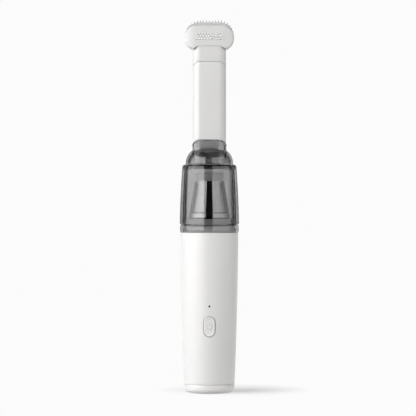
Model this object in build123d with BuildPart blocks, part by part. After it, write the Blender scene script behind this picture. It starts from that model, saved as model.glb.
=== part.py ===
from build123d import *
from math import copysign, cos, degrees, radians, sin, sqrt
import os

# Handheld vacuum cleaner, standing on its base. Sizes are in millimetres.
# +Z is up, the front with the button faces -Y, and the origin is the centre of the base on the floor.

os.makedirs("parts", exist_ok=True)

# Gaps
fit_gap = 0.3          # between pieces that are pulled apart by hand
seat_gap = 0.1         # between pieces that are pushed together once
running_gap = 0.05     # shaft in its bush, on the radius
seam = 0.3             # visible joint lines
overcut = 2.0          # how far a cut runs past the face it opens

# Body shell: a slender barrel, widest under the cup
shell_wall = 2.2
shell_bottom_z = 9.2
shell_waist_z = 72.0
shell_bottom_r = 25.2
shell_waist_r = 27.4
shell_top_r = 28.75

# End cap and foot
cap_edge_r = 5.0
cap_floor = 3.2
cap_ring_wall = 1.6
cap_ring_height = 4.0
pad_r = 17.0
pad_thickness = 1.4
pad_proud = 0.4

# Screws in the base
base_screw_turn_deg = 16.0
base_screw_r = 1.25
base_screw_head_r = 2.4
base_screw_head = 1.3
base_screw_bite = 7.0

# Charging board and its inlet on the back
board_thickness = 1.6
charge_board_lift = 1.1
port_w = 9.0
port_h = 3.2
port_depth = 7.4
port_wall = 0.3
port_back_wall = 1.0
port_tongue_w = 6.5
port_tongue_h = 0.7
port_tongue_sink = 0.8
port_inset = 0.9
port_margin = 0.55

# Cells and their cradle
cell_r = 9.1
cell_length = 65.0
cell_tip_r = 3.0
cell_tip_height = 0.8
cell_gap = 0.5
cell_y = 5.0
cell_edge = 0.6
tab_thickness = 0.4
tab_width = 6.0
cradle_plate = 2.4
cradle_gap = 1.0
cradle_web_back_y = -1.0
cradle_web_front_y = -8.0
cradle_web_half = 18.5
cradle_rail_w = 3.0
cradle_rail_x = 12.5
cradle_rail_margin = 6.0
cradle_foot_r = 3.4
cradle_foot_height = 6.4

# Control board
board_w = 30.0
board_corner = 1.5
board_front_y = -15.5
board_lift = 6.0
board_head_gap = 0.5

# Power button, its switch and the pilot light
button_w = 12.1
button_h = 20.7
button_z = 67.1
button_travel = 0.8
button_face_inset = 2.4
button_face_sink = 0.25
button_flange = 1.3
button_flange_wall = 1.4
button_stem_r = 2.0
switch_side = 6.0
switch_body_height = 3.4
switch_plunger_r = 1.6
switch_plunger_height = 1.0
light_drop = 3.2
light_r = 0.85
light_chip = 1.2
light_hole_gap = 0.12

# Exhaust slots on the back
vent_count = 9
vent_w = 2.0
vent_length = 19.0
vent_pitch_deg = 9.5
vent_rise = 16.6

# Motor
motor_r = 13.85
motor_wall = 1.2
motor_face_wall = 1.5
motor_length = 28.5
bell_flange = 2.0
bell_plug = 2.5
rear_mount_wall = 2.6
rear_mount_floor = 2.6
rear_mount_grip = 8.0
rear_mount_hole_r = 4.0
boss_r = 4.5
boss_height = 3.0
bush_wall = 1.1
bush_length = 2.6
shaft_r = 1.15
shaft_tail = 0.4
shaft_proud = 0.6
magnet_thickness = 2.1
magnet_arc_deg = 130.0
magnet_overhang = 1.0
magnet_gap = 0.5
pole_count = 5
pole_slot_w = 1.6
pole_slot_depth = 5.6
armature_end_gap = 2.5
commutator_r = 3.4
commutator_length = 4.4
commutator_gap = 0.6
motor_screw_x = 8.0
motor_screw_r = 1.2
motor_screw_head_r = 2.2
motor_screw_head = 1.1

# Fan
diffuser_plate = 2.4
diffuser_channel = 4.7
diffuser_ring_wall = 1.5
diffuser_height = 6.5
diffuser_vane_count = 11
diffuser_vane = 1.1
diffuser_vane_inset = 0.25
diffuser_vane_bite = 0.4
diffuser_vane_lean_deg = 24.0
impeller_tip_gap = 2.7
impeller_plate = 1.2
impeller_hub_r = 4.0
impeller_hub_height = 7.8
impeller_eye_r = 7.0
impeller_blade_height = 6.3
impeller_blade = 0.9
impeller_blade_inset = 0.2
impeller_blade_count = 9
impeller_sweep_deg = 62.0
impeller_mid_sweep = 0.62
impeller_lift = 1.2
fan_gap = 1.0
fan_cover_wall = 1.5
fan_cover_step = 1.0
fan_eye_r = 9.5
fan_lip_height = 3.4
fan_lip_gap = 4.4
gasket_wall = 3.0
mount_wall = 1.3
mount_height = 7.0
mount_drop = 0.5
foam_thickness = 3.0
foam_arc_deg = 104.0

# Intake collar at the top of the body, with the neck that the cup slides over
collar_depth = 11.0
collar_floor = 2.0
neck_step = 3.05
neck_wall = 2.2
neck_height = 6.0
cup_slide_gap = 0.4
grille_rise = 6.0
grille_bar = 1.6
grille_bar_count = 8
grille_bite = 0.6
grille_hub_r = 4.0
grille_ring_r = 13.0

# Filter, carried in the mouth of the cup
seal_thickness = 1.7
seal_rim_wall = 1.5
filter_flange_gap = 1.2
filter_base_height = 5.6
filter_base_edge = 0.6
filter_base_floor = 1.5
filter_base_ledge = 1.0
filter_base_band = 4.5
filter_taper = 6.5
filter_cone_height = 37.6
filter_wall = 1.3
filter_low_band = 5.4
filter_high_band = 2.0
rib_count = 5
rib_low_w = 7.2
rib_high_w = 4.6
rib_proud = 0.7
rib_ring = 1.4
mesh_thickness = 0.5
pleat_count = 18
pleat_low_gap = 3.4
pleat_high_gap = 3.3
pleat_depth = 3.4
filter_cap_ledge = 0.45
filter_cap_height = 8.3
filter_cap_edge = 1.6

# Dust cup: smoky clear, with a shoulder, a dome and a rounded rectangular socket
cup_ring_proud = 0.55
cup_ring_height = 6.5
cup_step = 0.5
cup_low_proud = 0.85
cup_mid_proud = 0.05
cup_high_inset = 1.65
cup_shoulder_edge = 3.0
cup_bore_lead = 0.4
cup_high_wall = 2.9
cup_headroom = 6.7
cup_roof = 1.8
cup_inner_edge = 7.0
dome_ledge = 3.5
dome_step = 1.5
dome_curve = 15.0
dome_wall = 2.5

# Rounded rectangular socket and tube
socket_w = 33.7
socket_d = 24.1
socket_wall = 1.65
socket_corner = 6.6
socket_lift = 1.0
socket_depth = 23.4
bead_height = 1.1
bead_proud = 0.45
edge_flat = 10.4
edge_drop = 3.0
rim_drop = 4.2
tube_inset = 0.33
tube_wall = 1.8
tube_length = 77.6
spigot_length = 18.0
spigot_wall = 1.5

# Dust flap
flap_thickness = 1.2
flap_hinge_r = 1.7
flap_hinge_half = 6.5
flap_lug_w = 2.4
flap_pin_r = 0.8
flap_hinge_back = 1.7
flap_lug_r = 1.9
flap_lug_height = 4.5
flap_overlap = 0.5
flap_tongue = 1.0

# Brush head
head_w = 49.3
head_h = 24.1
head_front_proud = 0.35
head_lip_rise = 4.55
head_lip_drop = 3.7
head_edge = 2.6
head_wall = 2.0
head_crown = 2.4
neck_length = 12.05
neck_spigot_length = 12.0
neck_spigot_wall = 1.5
comb_thickness = 5.22
comb_rise = 4.65
comb_edge = 0.8
mouth_w = 38.0
mouth_h = 15.0
mouth_edge = 1.0
tooth_pitch = 3.0
tooth_w = 1.0
tooth_depth = 1.7
tooth_height = 2.1
teeth_each_side = 8

# Heights, each piece standing on the one below it
cap_top_z = shell_bottom_z - seam
cap_inner_z = pad_proud + cap_floor
cap_ring_top_z = cap_top_z + cap_ring_height
screw_head_z = pad_thickness + base_screw_head
charge_board_z = cap_ring_top_z + charge_board_lift
charge_top_z = charge_board_z + board_thickness
base_screw_top_z = charge_top_z + base_screw_bite
port_z = charge_top_z + port_h / 2
cradle_z = charge_top_z + cradle_foot_height
cradle_plate_top_z = cradle_z + cradle_plate
cell_bottom_z = cradle_plate_top_z + tab_thickness
cell_top_z = cell_bottom_z + cell_length
tip_top_z = cell_top_z + cell_tip_height
deck_z = tip_top_z + tab_thickness
deck_top_z = deck_z + cradle_plate
board_bottom_z = cradle_z + board_lift
board_top_z = deck_z - board_head_gap
light_z = board_top_z - light_drop
vent_z = deck_top_z + vent_rise
motor_z = deck_top_z + rear_mount_floor
can_z = motor_z + bell_flange
can_top_z = can_z + motor_length
boss_top_z = can_top_z + boss_height
armature_z = can_z + bell_plug + commutator_length + commutator_gap
armature_top_z = can_top_z - motor_face_wall - armature_end_gap
diffuser_z = can_top_z
diffuser_low_z = diffuser_z + diffuser_plate - diffuser_height
mount_z = diffuser_low_z - mount_drop
cover_z = diffuser_z + diffuser_plate
impeller_z = cover_z + motor_screw_head + impeller_lift
shaft_top_z = impeller_z + impeller_hub_height + shaft_proud
cover_inner_top_z = impeller_z + impeller_plate + impeller_blade_height + fan_gap
cover_top_z = cover_inner_top_z + fan_cover_wall
fan_lip_z = cover_top_z + fan_lip_height
collar_floor_z = fan_lip_z + fan_lip_gap
shell_top_z = collar_floor_z + collar_depth
grille_z = collar_floor_z + grille_rise
neck_top_z = shell_top_z + neck_height
seal_z = neck_top_z + fit_gap
flange_z = seal_z + seal_thickness
frame_z = flange_z + filter_base_floor
filter_base_top_z = flange_z + filter_base_height
filter_head_z = filter_base_top_z + filter_cone_height
filter_cap_top_z = filter_head_z + filter_cap_height
cup_z = shell_top_z + seam
cup_ring_top_z = cup_z + cup_ring_height
cup_wall_z = cup_ring_top_z + 2 * cup_step
cavity_low_z = cup_wall_z + cup_bore_lead
cavity_top_z = filter_cap_top_z + cup_headroom
cup_shoulder_z = cavity_top_z + cup_roof
dome_rise_z = cup_shoulder_z + dome_step
socket_floor_z = cup_shoulder_z + socket_lift
socket_rim_z = socket_floor_z + socket_depth
tube_top_z = socket_rim_z + tube_length
neck_bottom_z = tube_top_z + seam
head_z = tube_top_z + neck_length + head_h / 2
comb_z = head_z + comb_rise / 2

# Radii of the cup, neck and filter, all from the top of the shell
cup_ring_r = shell_top_r + cup_ring_proud
cup_low_r = shell_top_r + cup_low_proud
cup_mid_r = shell_top_r + cup_mid_proud
cup_high_r = shell_top_r - cup_high_inset
dome_r = cup_high_r - dome_ledge
neck_r = shell_top_r - neck_step
neck_bore_r = neck_r - neck_wall
cup_bore_r = neck_r + cup_slide_gap
seal_lip_r = cup_bore_r - fit_gap
seal_rim_r = neck_bore_r - fit_gap
filter_base_r = cup_bore_r - filter_flange_gap
filter_foot_r = filter_base_r - filter_base_band
filter_head_r = filter_foot_r - filter_taper
filter_cap_r = filter_head_r + filter_cap_ledge
pleat_low_r = filter_foot_r - pleat_low_gap
pleat_high_r = filter_head_r - pleat_high_gap

# Sections of the tube and depths of the head
tube_w = socket_w - 2 * tube_inset
tube_d = socket_d - 2 * tube_inset
tube_corner = socket_corner - tube_inset
head_front_y = -tube_d / 2 - head_front_proud
comb_back_y = tube_d / 2
head_back_y = comb_back_y - comb_thickness


def circle_through(first, middle, last):
    """Centre and radius of the circle through three points."""
    (ax, ay), (bx, by), (cx, cy) = first, middle, last
    spread = 2 * (ax * (by - cy) + bx * (cy - ay) + cx * (ay - by))
    a2 = ax * ax + ay * ay
    b2 = bx * bx + by * by
    c2 = cx * cx + cy * cy
    centre_x = (a2 * (by - cy) + b2 * (cy - ay) + c2 * (ay - by)) / spread
    centre_y = (a2 * (cx - bx) + b2 * (ax - cx) + c2 * (bx - ax)) / spread
    return centre_x, centre_y, sqrt((ax - centre_x) ** 2 + (ay - centre_y) ** 2)


shell_low = (shell_bottom_r, shell_bottom_z)
shell_mid = (shell_waist_r, shell_waist_z)
shell_high = (shell_top_r, shell_top_z)
barrel_x, barrel_z, barrel_r = circle_through(shell_low, shell_mid, shell_high)


def shell_outer(z):
    """Outer radius of the body shell at a height."""
    return barrel_x + copysign(sqrt(barrel_r ** 2 - (z - barrel_z) ** 2), shell_waist_r - barrel_x)


def shell_inner(z):
    """Inner radius of the body shell at a height."""
    return shell_outer(z) - shell_wall


def inward(point):
    """The point of the shell's inner face beside a point of its outer face."""
    return (point[0] - shell_wall, point[1])


def ring(outer, inner, bottom, top):
    """A plain ring about the Z axis."""
    with BuildPart() as made:
        with BuildSketch(Plane.XY.offset(bottom)):
            Circle(outer)
            Circle(inner, mode=Mode.SUBTRACT)
        extrude(amount=top - bottom)
    return made.part


def rounded_prism(width, depth, corner, bottom, top):
    """An upright prism with a rounded rectangular section."""
    with BuildPart() as made:
        with BuildSketch(Plane.XY.offset(bottom)):
            RectangleRounded(width, depth, corner)
        extrude(amount=top - bottom)
    return made.part


def scalloped_slab(bottom, top, bottom_drop, top_drop):
    """A slab whose upper and lower faces are flat in the middle and fall away at the sides."""
    reach = socket_w / 2 + bead_proud
    slab_half = 3 * socket_w / 4
    with BuildPart() as made:
        with BuildSketch(Plane.XZ):
            with BuildLine():
                for z, drop in ((bottom, bottom_drop), (top, top_drop)):
                    Line((-slab_half, z - drop), (-reach, z - drop))
                    TangentArc((-edge_flat, z), (-reach, z - drop), tangent=(-1, 0))
                    Line((-edge_flat, z), (edge_flat, z))
                    TangentArc((edge_flat, z), (reach, z - drop), tangent=(1, 0))
                    Line((reach, z - drop), (slab_half, z - drop))
                for x in (-slab_half, slab_half):
                    Line((x, bottom - bottom_drop), (x, top - top_drop))
            make_face()
        extrude(amount=socket_d, both=True)
    return made.part


def stadium_prism(width, height, centre_z, front_y, back_y):
    """A stadium lying across the brush head, from its front plane to its back plane."""
    with BuildPart() as made:
        with BuildSketch(Plane.XZ.offset(-front_y)):
            with Locations((0, centre_z)):
                SlotOverall(width, height)
        extrude(amount=front_y - back_y)
    return made.part


# Body shell
with BuildPart() as body_shell:
    with BuildSketch(Plane.XZ):
        with BuildLine():
            ThreePointArc(shell_low, shell_mid, shell_high)
            ThreePointArc(inward(shell_low), inward(shell_mid), inward(shell_high))
            Line(shell_low, inward(shell_low))
            Line(shell_high, inward(shell_high))
        make_face()
    revolve(axis=Axis.Z)
    with BuildSketch(Plane.XZ.offset(shell_bottom_r / 2)):
        with Locations((0, button_z)):
            SlotOverall(button_h, button_w, rotation=90)
        with Locations((0, light_z)):
            Circle(light_r + light_hole_gap)
    extrude(amount=shell_top_r, mode=Mode.SUBTRACT)
    with BuildSketch(Plane.XZ.offset(-shell_bottom_r / 2)):
        with Locations((0, port_z)):
            SlotOverall(port_w + 2 * port_margin, port_h + 2 * port_margin)
    extrude(amount=-shell_top_r, mode=Mode.SUBTRACT)
    for index in range(vent_count):
        angle = 90 + (index - (vent_count - 1) / 2) * vent_pitch_deg
        facing = Vector(cos(radians(angle)), sin(radians(angle)), 0)
        across = Vector(-facing.Y, facing.X, 0)
        slot_start = facing * (shell_bottom_r - 2 * shell_wall) + Vector(0, 0, vent_z)
        with BuildSketch(Plane(origin=slot_start, x_dir=across, z_dir=facing)):
            SlotOverall(vent_length, vent_w, rotation=90)
        extrude(amount=shell_top_r, mode=Mode.SUBTRACT)
body_shell.part.label = "body_shell"
export_step(body_shell.part, "parts/body_shell.step")

# End cap, closed below, with a ring that plugs into the shell
cap_ring_r = shell_inner(shell_bottom_z) - seat_gap
cap_hollow_r = cap_ring_r - cap_ring_wall
screw_circle_r = pad_r - base_screw_head_r - seat_gap
screw_x = screw_circle_r * cos(radians(base_screw_turn_deg))
screw_y = -screw_circle_r * sin(radians(base_screw_turn_deg))
screw_spots = [(-screw_x, screw_y), (screw_x, screw_y)]
with BuildPart() as end_cap:
    with BuildSketch(Plane.XZ):
        with BuildLine():
            Polyline(
                (0, pad_proud), (shell_bottom_r, pad_proud), (shell_bottom_r, cap_top_z),
                (cap_ring_r, cap_top_z), (cap_ring_r, cap_ring_top_z),
                (cap_hollow_r, cap_ring_top_z), (cap_hollow_r, cap_inner_z),
                (0, cap_inner_z), (0, pad_proud),
            )
        make_face()
    revolve(axis=Axis.Z)
    rim = end_cap.edges().filter_by(GeomType.CIRCLE).group_by(Axis.Z)[0].sort_by(SortBy.RADIUS)[-1]
    fillet(rim, radius=cap_edge_r)
    with BuildSketch(Plane.XY.offset(cap_inner_z)):
        with Locations(*screw_spots):
            Circle(cradle_foot_r)
    extrude(amount=charge_board_z - cap_inner_z)
    with BuildSketch(Plane.XY):
        Circle(pad_r + seat_gap)
    extrude(amount=pad_thickness, mode=Mode.SUBTRACT)
    with BuildSketch(Plane.XY):
        with Locations(*screw_spots):
            Circle(base_screw_head_r + seat_gap)
    extrude(amount=screw_head_z, mode=Mode.SUBTRACT)
    with BuildSketch(Plane.XY):
        with Locations(*screw_spots):
            Circle(base_screw_r + seat_gap)
    extrude(amount=charge_board_z, mode=Mode.SUBTRACT)
end_cap.part.label = "end_cap"
export_step(end_cap.part, "parts/end_cap.step")

# Rubber foot pad that hides the screws
with BuildPart() as foot_pad:
    with BuildSketch():
        Circle(pad_r)
    extrude(amount=pad_thickness)
    fillet(foot_pad.edges().group_by(Axis.Z)[0], radius=pad_proud / 2)
foot_pad.part.label = "foot_pad"
export_step(foot_pad.part, "parts/foot_pad.step")

# Two screws that hold the end cap, the charging board and the cradle together
with BuildPart() as end_cap_screws:
    with BuildSketch(Plane.XY.offset(pad_thickness)):
        with Locations(*screw_spots):
            Circle(base_screw_head_r)
    extrude(amount=base_screw_head)
    with BuildSketch(Plane.XY.offset(pad_thickness)):
        with Locations(*screw_spots):
            Circle(base_screw_r)
    extrude(amount=base_screw_top_z - pad_thickness)
end_cap_screws.part.label = "end_cap_screws"
export_step(end_cap_screws.part, "parts/end_cap_screws.step")

# Charging board and its inlet
port_back_y = shell_outer(port_z) - port_inset
port_front_y = port_back_y - port_depth
with BuildPart() as charge_board:
    with BuildSketch(Plane.XY.offset(charge_board_z)):
        Circle(cap_hollow_r)
        with Locations(*screw_spots):
            Circle(base_screw_r + seat_gap, mode=Mode.SUBTRACT)
    extrude(amount=board_thickness)
charge_board.part.label = "charge_board"
export_step(charge_board.part, "parts/charge_board.step")

with BuildPart() as usb_socket:
    with BuildSketch(Plane.XZ.offset(-port_front_y)):
        with Locations((0, port_z)):
            SlotOverall(port_w, port_h)
    extrude(amount=-port_depth)
    with BuildSketch(Plane.XZ.offset(-port_back_y)):
        with Locations((0, port_z)):
            SlotOverall(port_w - 2 * port_wall, port_h - 2 * port_wall)
    extrude(amount=port_depth - port_back_wall, mode=Mode.SUBTRACT)
    with BuildSketch(Plane.XZ.offset(-port_front_y)):
        with Locations((0, port_z)):
            Rectangle(port_tongue_w, port_tongue_h)
    extrude(amount=port_tongue_sink - port_depth)
usb_socket.part.label = "usb_socket"
export_step(usb_socket.part, "parts/usb_socket.step")

# Cells, standing side by side behind the control board
cell_x = cell_r + cell_gap
cell_spots = [(-cell_x, cell_y), (cell_x, cell_y)]
with BuildPart() as battery_cells:
    with BuildSketch(Plane.XY.offset(cell_bottom_z)):
        with Locations(*cell_spots):
            Circle(cell_r)
    extrude(amount=cell_length)
    fillet(battery_cells.edges().filter_by(GeomType.CIRCLE).group_by(Axis.Z)[-1], radius=cell_edge)
    with BuildSketch(Plane.XY.offset(cell_top_z)):
        with Locations(*cell_spots):
            Circle(cell_tip_r)
    extrude(amount=cell_tip_height)
battery_cells.part.label = "battery_cells"
export_step(battery_cells.part, "parts/battery_cells.step")

with BuildPart() as cell_tabs:
    with BuildSketch(Plane.XY.offset(cradle_plate_top_z)):
        with Locations((0, cell_y)):
            Rectangle(2 * cell_x + tab_width, tab_width)
    extrude(amount=tab_thickness)
    with BuildSketch(Plane.XY.offset(tip_top_z)):
        with Locations(*cell_spots):
            Rectangle(tab_width, tab_width)
    extrude(amount=tab_thickness)
cell_tabs.part.label = "cell_tabs"
export_step(cell_tabs.part, "parts/cell_tabs.step")

# Cradle: two plates, a web with a trough for each cell, and rails for the control board
board_back_y = board_front_y + board_thickness
deck_r = shell_inner(deck_z) - 2 * fit_gap
cradle_plate_r = shell_inner(cradle_z) - cradle_gap
with BuildPart() as battery_cradle:
    with BuildSketch(Plane.XY.offset(cradle_z)):
        Circle(cradle_plate_r)
    extrude(amount=cradle_plate)
    with BuildSketch(Plane.XY.offset(deck_z)):
        Circle(deck_r)
    extrude(amount=cradle_plate)
    web_depth = cradle_web_back_y - cradle_web_front_y
    with BuildSketch(Plane.XY.offset(cradle_z)):
        with Locations((0, cradle_web_front_y + web_depth / 2)):
            Rectangle(2 * cradle_web_half, web_depth)
        with Locations(*cell_spots):
            Circle(cell_r + seat_gap, mode=Mode.SUBTRACT)
    extrude(amount=deck_z - cradle_z)
    rail_bottom_z = board_bottom_z + cradle_rail_margin
    rail_depth = cradle_web_front_y - board_back_y
    with BuildSketch(Plane.XY.offset(rail_bottom_z)):
        rail_y = board_back_y + rail_depth / 2
        with Locations((-cradle_rail_x, rail_y), (cradle_rail_x, rail_y)):
            Rectangle(cradle_rail_w, rail_depth)
    extrude(amount=board_top_z - cradle_rail_margin - rail_bottom_z)
    with BuildSketch(Plane.XY.offset(charge_top_z)):
        with Locations(*screw_spots):
            Circle(cradle_foot_r)
    extrude(amount=cradle_z - charge_top_z)
    with BuildSketch(Plane.XY.offset(charge_top_z)):
        with Locations(*screw_spots):
            Circle(base_screw_r)
    extrude(amount=base_screw_bite, mode=Mode.SUBTRACT)
battery_cradle.part.label = "battery_cradle"
export_step(battery_cradle.part, "parts/battery_cradle.step")

# Control board with its chips, and the switch that the button presses
# Each chip: place across, height above the board's lower edge, width, height, thickness
chips = [
    (-7.0, 16.0, 7.0, 9.0, 1.6),
    (7.5, 18.0, 6.0, 6.0, 2.8),
    (-8.0, 29.0, 5.0, 4.0, 1.2),
    (0.0, 6.0, 8.0, 4.0, 2.2),
]
board_height = board_top_z - board_bottom_z
with BuildPart() as control_board:
    with BuildSketch(Plane.XZ.offset(-board_back_y)):
        with Locations((0, board_bottom_z + board_height / 2)):
            RectangleRounded(board_w, board_height, board_corner)
    extrude(amount=board_thickness)
    for chip_x, chip_rise, chip_w, chip_h, chip_t in chips:
        with BuildSketch(Plane.XZ.offset(-board_front_y)):
            with Locations((chip_x, board_bottom_z + chip_rise)):
                Rectangle(chip_w, chip_h)
        extrude(amount=chip_t)
    with BuildSketch(Plane.XZ.offset(-board_front_y)):
        with Locations((0, light_z)):
            Rectangle(2 * light_r, 2 * light_r)
    extrude(amount=light_chip)
control_board.part.label = "control_board"
export_step(control_board.part, "parts/control_board.step")

switch_front_y = board_front_y - switch_body_height
plunger_front_y = switch_front_y - switch_plunger_height
with BuildPart() as button_switch:
    with BuildSketch(Plane.XZ.offset(-board_front_y)):
        with Locations((0, button_z)):
            Rectangle(switch_side, switch_side)
    extrude(amount=switch_body_height)
    with BuildSketch(Plane.XZ.offset(-switch_front_y)):
        with Locations((0, button_z)):
            Circle(switch_plunger_r)
    extrude(amount=switch_plunger_height)
button_switch.part.label = "button_switch"
export_step(button_switch.part, "parts/button_switch.step")

# Light pipe from the pilot light to the shell's front
light_back_y = board_front_y - light_chip
with BuildPart() as led_light_pipe:
    with BuildSketch(Plane.XZ.offset(-light_back_y)):
        with Locations((0, light_z)):
            Circle(light_r)
    extrude(amount=light_back_y + shell_outer(light_z))
led_light_pipe.part.label = "led_light_pipe"
export_step(led_light_pipe.part, "parts/led_light_pipe.step")

# Power button: its face follows the shell, and a flange behind the wall keeps it in
flange_reach = button_h / 2 + button_flange
narrow_r = min(shell_inner(button_z - flange_reach), shell_inner(button_z + flange_reach))
flange_outer_r = narrow_r - fit_gap
flange_inner_r = flange_outer_r - button_flange_wall
with BuildPart() as shell_core:
    with BuildSketch(Plane.XZ):
        with BuildLine():
            ThreePointArc(shell_low, shell_mid, shell_high)
            Polyline(shell_high, (0, shell_top_z), (0, shell_bottom_z), shell_low)
        make_face()
    revolve(axis=Axis.Z)
button_flange_ring = ring(flange_outer_r, flange_inner_r, button_z - button_h, button_z + button_h)
with BuildPart() as button_flange_part:
    with BuildSketch(Plane.XZ):
        with Locations((0, button_z)):
            SlotOverall(button_h + 2 * button_flange, button_w + 2 * button_flange, rotation=90)
    extrude(amount=shell_top_r)
    add(button_flange_ring, mode=Mode.INTERSECT)
with BuildPart() as power_button:
    with BuildSketch(Plane.XZ.offset(flange_inner_r)):
        with Locations((0, button_z)):
            SlotOverall(button_h - 2 * fit_gap, button_w - 2 * fit_gap, rotation=90)
    extrude(amount=shell_top_r - flange_inner_r + overcut)
    add(shell_core.part, mode=Mode.INTERSECT)
    with BuildSketch(Plane.XZ.offset(shell_outer(button_z) - button_face_sink)):
        with Locations((0, button_z)):
            SlotOverall(button_h - 2 * button_face_inset, button_w - 2 * button_face_inset, rotation=90)
    extrude(amount=overcut, mode=Mode.SUBTRACT)
    add(button_flange_part.part)
    stem_end_y = plunger_front_y - button_travel - seat_gap / 2
    with BuildSketch(Plane.XZ.offset(-stem_end_y)):
        with Locations((0, button_z)):
            Circle(button_stem_r)
    extrude(amount=flange_inner_r + button_flange_wall / 2 + stem_end_y)
power_button.part.label = "power_button"
export_step(power_button.part, "parts/power_button.step")

# Motor: rubber cup behind it, end bell, can, magnets and bushes
bush_r = shaft_r + running_gap + bush_wall
with BuildPart() as rear_mount:
    with BuildSketch(Plane.XY.offset(deck_top_z)):
        Circle(motor_r + rear_mount_wall)
        Circle(rear_mount_hole_r, mode=Mode.SUBTRACT)
    extrude(amount=rear_mount_floor + rear_mount_grip)
    with BuildSketch(Plane.XY.offset(motor_z)):
        Circle(motor_r + seat_gap)
    extrude(amount=rear_mount_grip, mode=Mode.SUBTRACT)
rear_mount.part.label = "rear_mount"
export_step(rear_mount.part, "parts/rear_mount.step")

bore_r = motor_r - motor_wall
with BuildPart() as motor_can:
    with BuildSketch(Plane.XY.offset(can_z)):
        Circle(motor_r)
    extrude(amount=motor_length)
    fillet(motor_can.edges().group_by(Axis.Z)[-1], radius=motor_wall)
    with BuildSketch(Plane.XY.offset(can_top_z - motor_face_wall)):
        Circle(boss_r)
    extrude(amount=motor_face_wall + boss_height)
    with BuildSketch(Plane.XY.offset(can_z)):
        Circle(bore_r)
    extrude(amount=motor_length - motor_face_wall, mode=Mode.SUBTRACT)
    with BuildSketch(Plane.XY.offset(can_z)):
        Circle(bush_r)
    extrude(amount=boss_top_z - can_z, mode=Mode.SUBTRACT)
    with BuildSketch(Plane.XY.offset(can_z)):
        with Locations((-motor_screw_x, 0), (motor_screw_x, 0)):
            Circle(motor_screw_r)
    extrude(amount=motor_length, mode=Mode.SUBTRACT)
motor_can.part.label = "motor_can"
export_step(motor_can.part, "parts/motor_can.step")

with BuildPart() as motor_end_bell:
    with BuildSketch(Plane.XY.offset(motor_z)):
        Circle(motor_r)
    extrude(amount=bell_flange)
    with BuildSketch(Plane.XY.offset(can_z)):
        Circle(bore_r - seat_gap)
    extrude(amount=bell_plug)
    with BuildSketch(Plane.XY.offset(motor_z)):
        Circle(bush_r)
    extrude(amount=bell_flange + bell_plug, mode=Mode.SUBTRACT)
motor_end_bell.part.label = "motor_end_bell"
export_step(motor_end_bell.part, "parts/motor_end_bell.step")

pole_length = armature_top_z - armature_z
magnet_length = pole_length + 2 * magnet_overhang
magnet_z = armature_z - magnet_overhang
magnet_inner_r = bore_r - magnet_thickness
with BuildPart() as motor_magnets:
    with BuildSketch(Plane.XY.offset(magnet_z)):
        Circle(bore_r - seat_gap / 2)
        Circle(magnet_inner_r, mode=Mode.SUBTRACT)
        for side in (90, 270):
            open_half = (180 - magnet_arc_deg) / 2
            reach = 2 * motor_r
            tip_a = (reach * cos(radians(side - open_half)), reach * sin(radians(side - open_half)))
            tip_b = (reach * cos(radians(side + open_half)), reach * sin(radians(side + open_half)))
            with BuildLine():
                Polyline((0, 0), tip_a, tip_b, close=True)
            make_face(mode=Mode.SUBTRACT)
    extrude(amount=magnet_length)
motor_magnets.part.label = "motor_magnets"
export_step(motor_magnets.part, "parts/motor_magnets.step")

with BuildPart() as motor_bushes:
    for bush_z in (motor_z, boss_top_z - bush_length):
        with BuildSketch(Plane.XY.offset(bush_z)):
            Circle(bush_r)
            Circle(shaft_r + running_gap, mode=Mode.SUBTRACT)
        extrude(amount=bush_length)
motor_bushes.part.label = "motor_bushes"
export_step(motor_bushes.part, "parts/motor_bushes.step")

# Rotor: armature with slotted poles and commutator, shaft and impeller
armature_r = magnet_inner_r - magnet_gap
shaft_bottom_z = motor_z + shaft_tail
with BuildPart() as motor_armature:
    with BuildSketch(Plane.XY.offset(armature_z)):
        Circle(armature_r)
        for index in range(pole_count):
            angle = radians(index * 360 / pole_count)
            spot = armature_r - pole_slot_depth / 2
            with Locations(Location((spot * cos(angle), spot * sin(angle)), degrees(angle))):
                Rectangle(pole_slot_depth, pole_slot_w, mode=Mode.SUBTRACT)
        Circle(shaft_r, mode=Mode.SUBTRACT)
    extrude(amount=pole_length)
    with BuildSketch(Plane.XY.offset(armature_z - commutator_length)):
        Circle(commutator_r)
        Circle(shaft_r, mode=Mode.SUBTRACT)
    extrude(amount=commutator_length)
motor_armature.part.label = "motor_armature"
export_step(motor_armature.part, "parts/motor_armature.step")

with BuildPart() as motor_shaft:
    with BuildSketch(Plane.XY.offset(shaft_bottom_z)):
        Circle(shaft_r)
    extrude(amount=shaft_top_z - shaft_bottom_z)
motor_shaft.part.label = "motor_shaft"
export_step(motor_shaft.part, "parts/motor_shaft.step")


def polar(radius, angle_deg):
    return (radius * cos(radians(angle_deg)), radius * sin(radians(angle_deg)))


def blade_outline(inner_r, outer_r, sweep_deg, thickness):
    """A curved blade of even thickness, from the eye out to the rim, swept back as it goes."""
    middle_r = (inner_r + outer_r) / 2
    stations = ((inner_r, 0.0), (middle_r, impeller_mid_sweep * sweep_deg), (outer_r, sweep_deg))
    sides = []
    for side in (-1, 1):
        sides.append([polar(r, turn + side * degrees(thickness / 2 / r)) for r, turn in stations])
    with BuildSketch() as made:
        with BuildLine():
            ThreePointArc(*sides[0])
            ThreePointArc(*sides[1])
            Line(sides[0][0], sides[1][0])
            Line(sides[0][2], sides[1][2])
        make_face()
    return made.sketch


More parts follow.
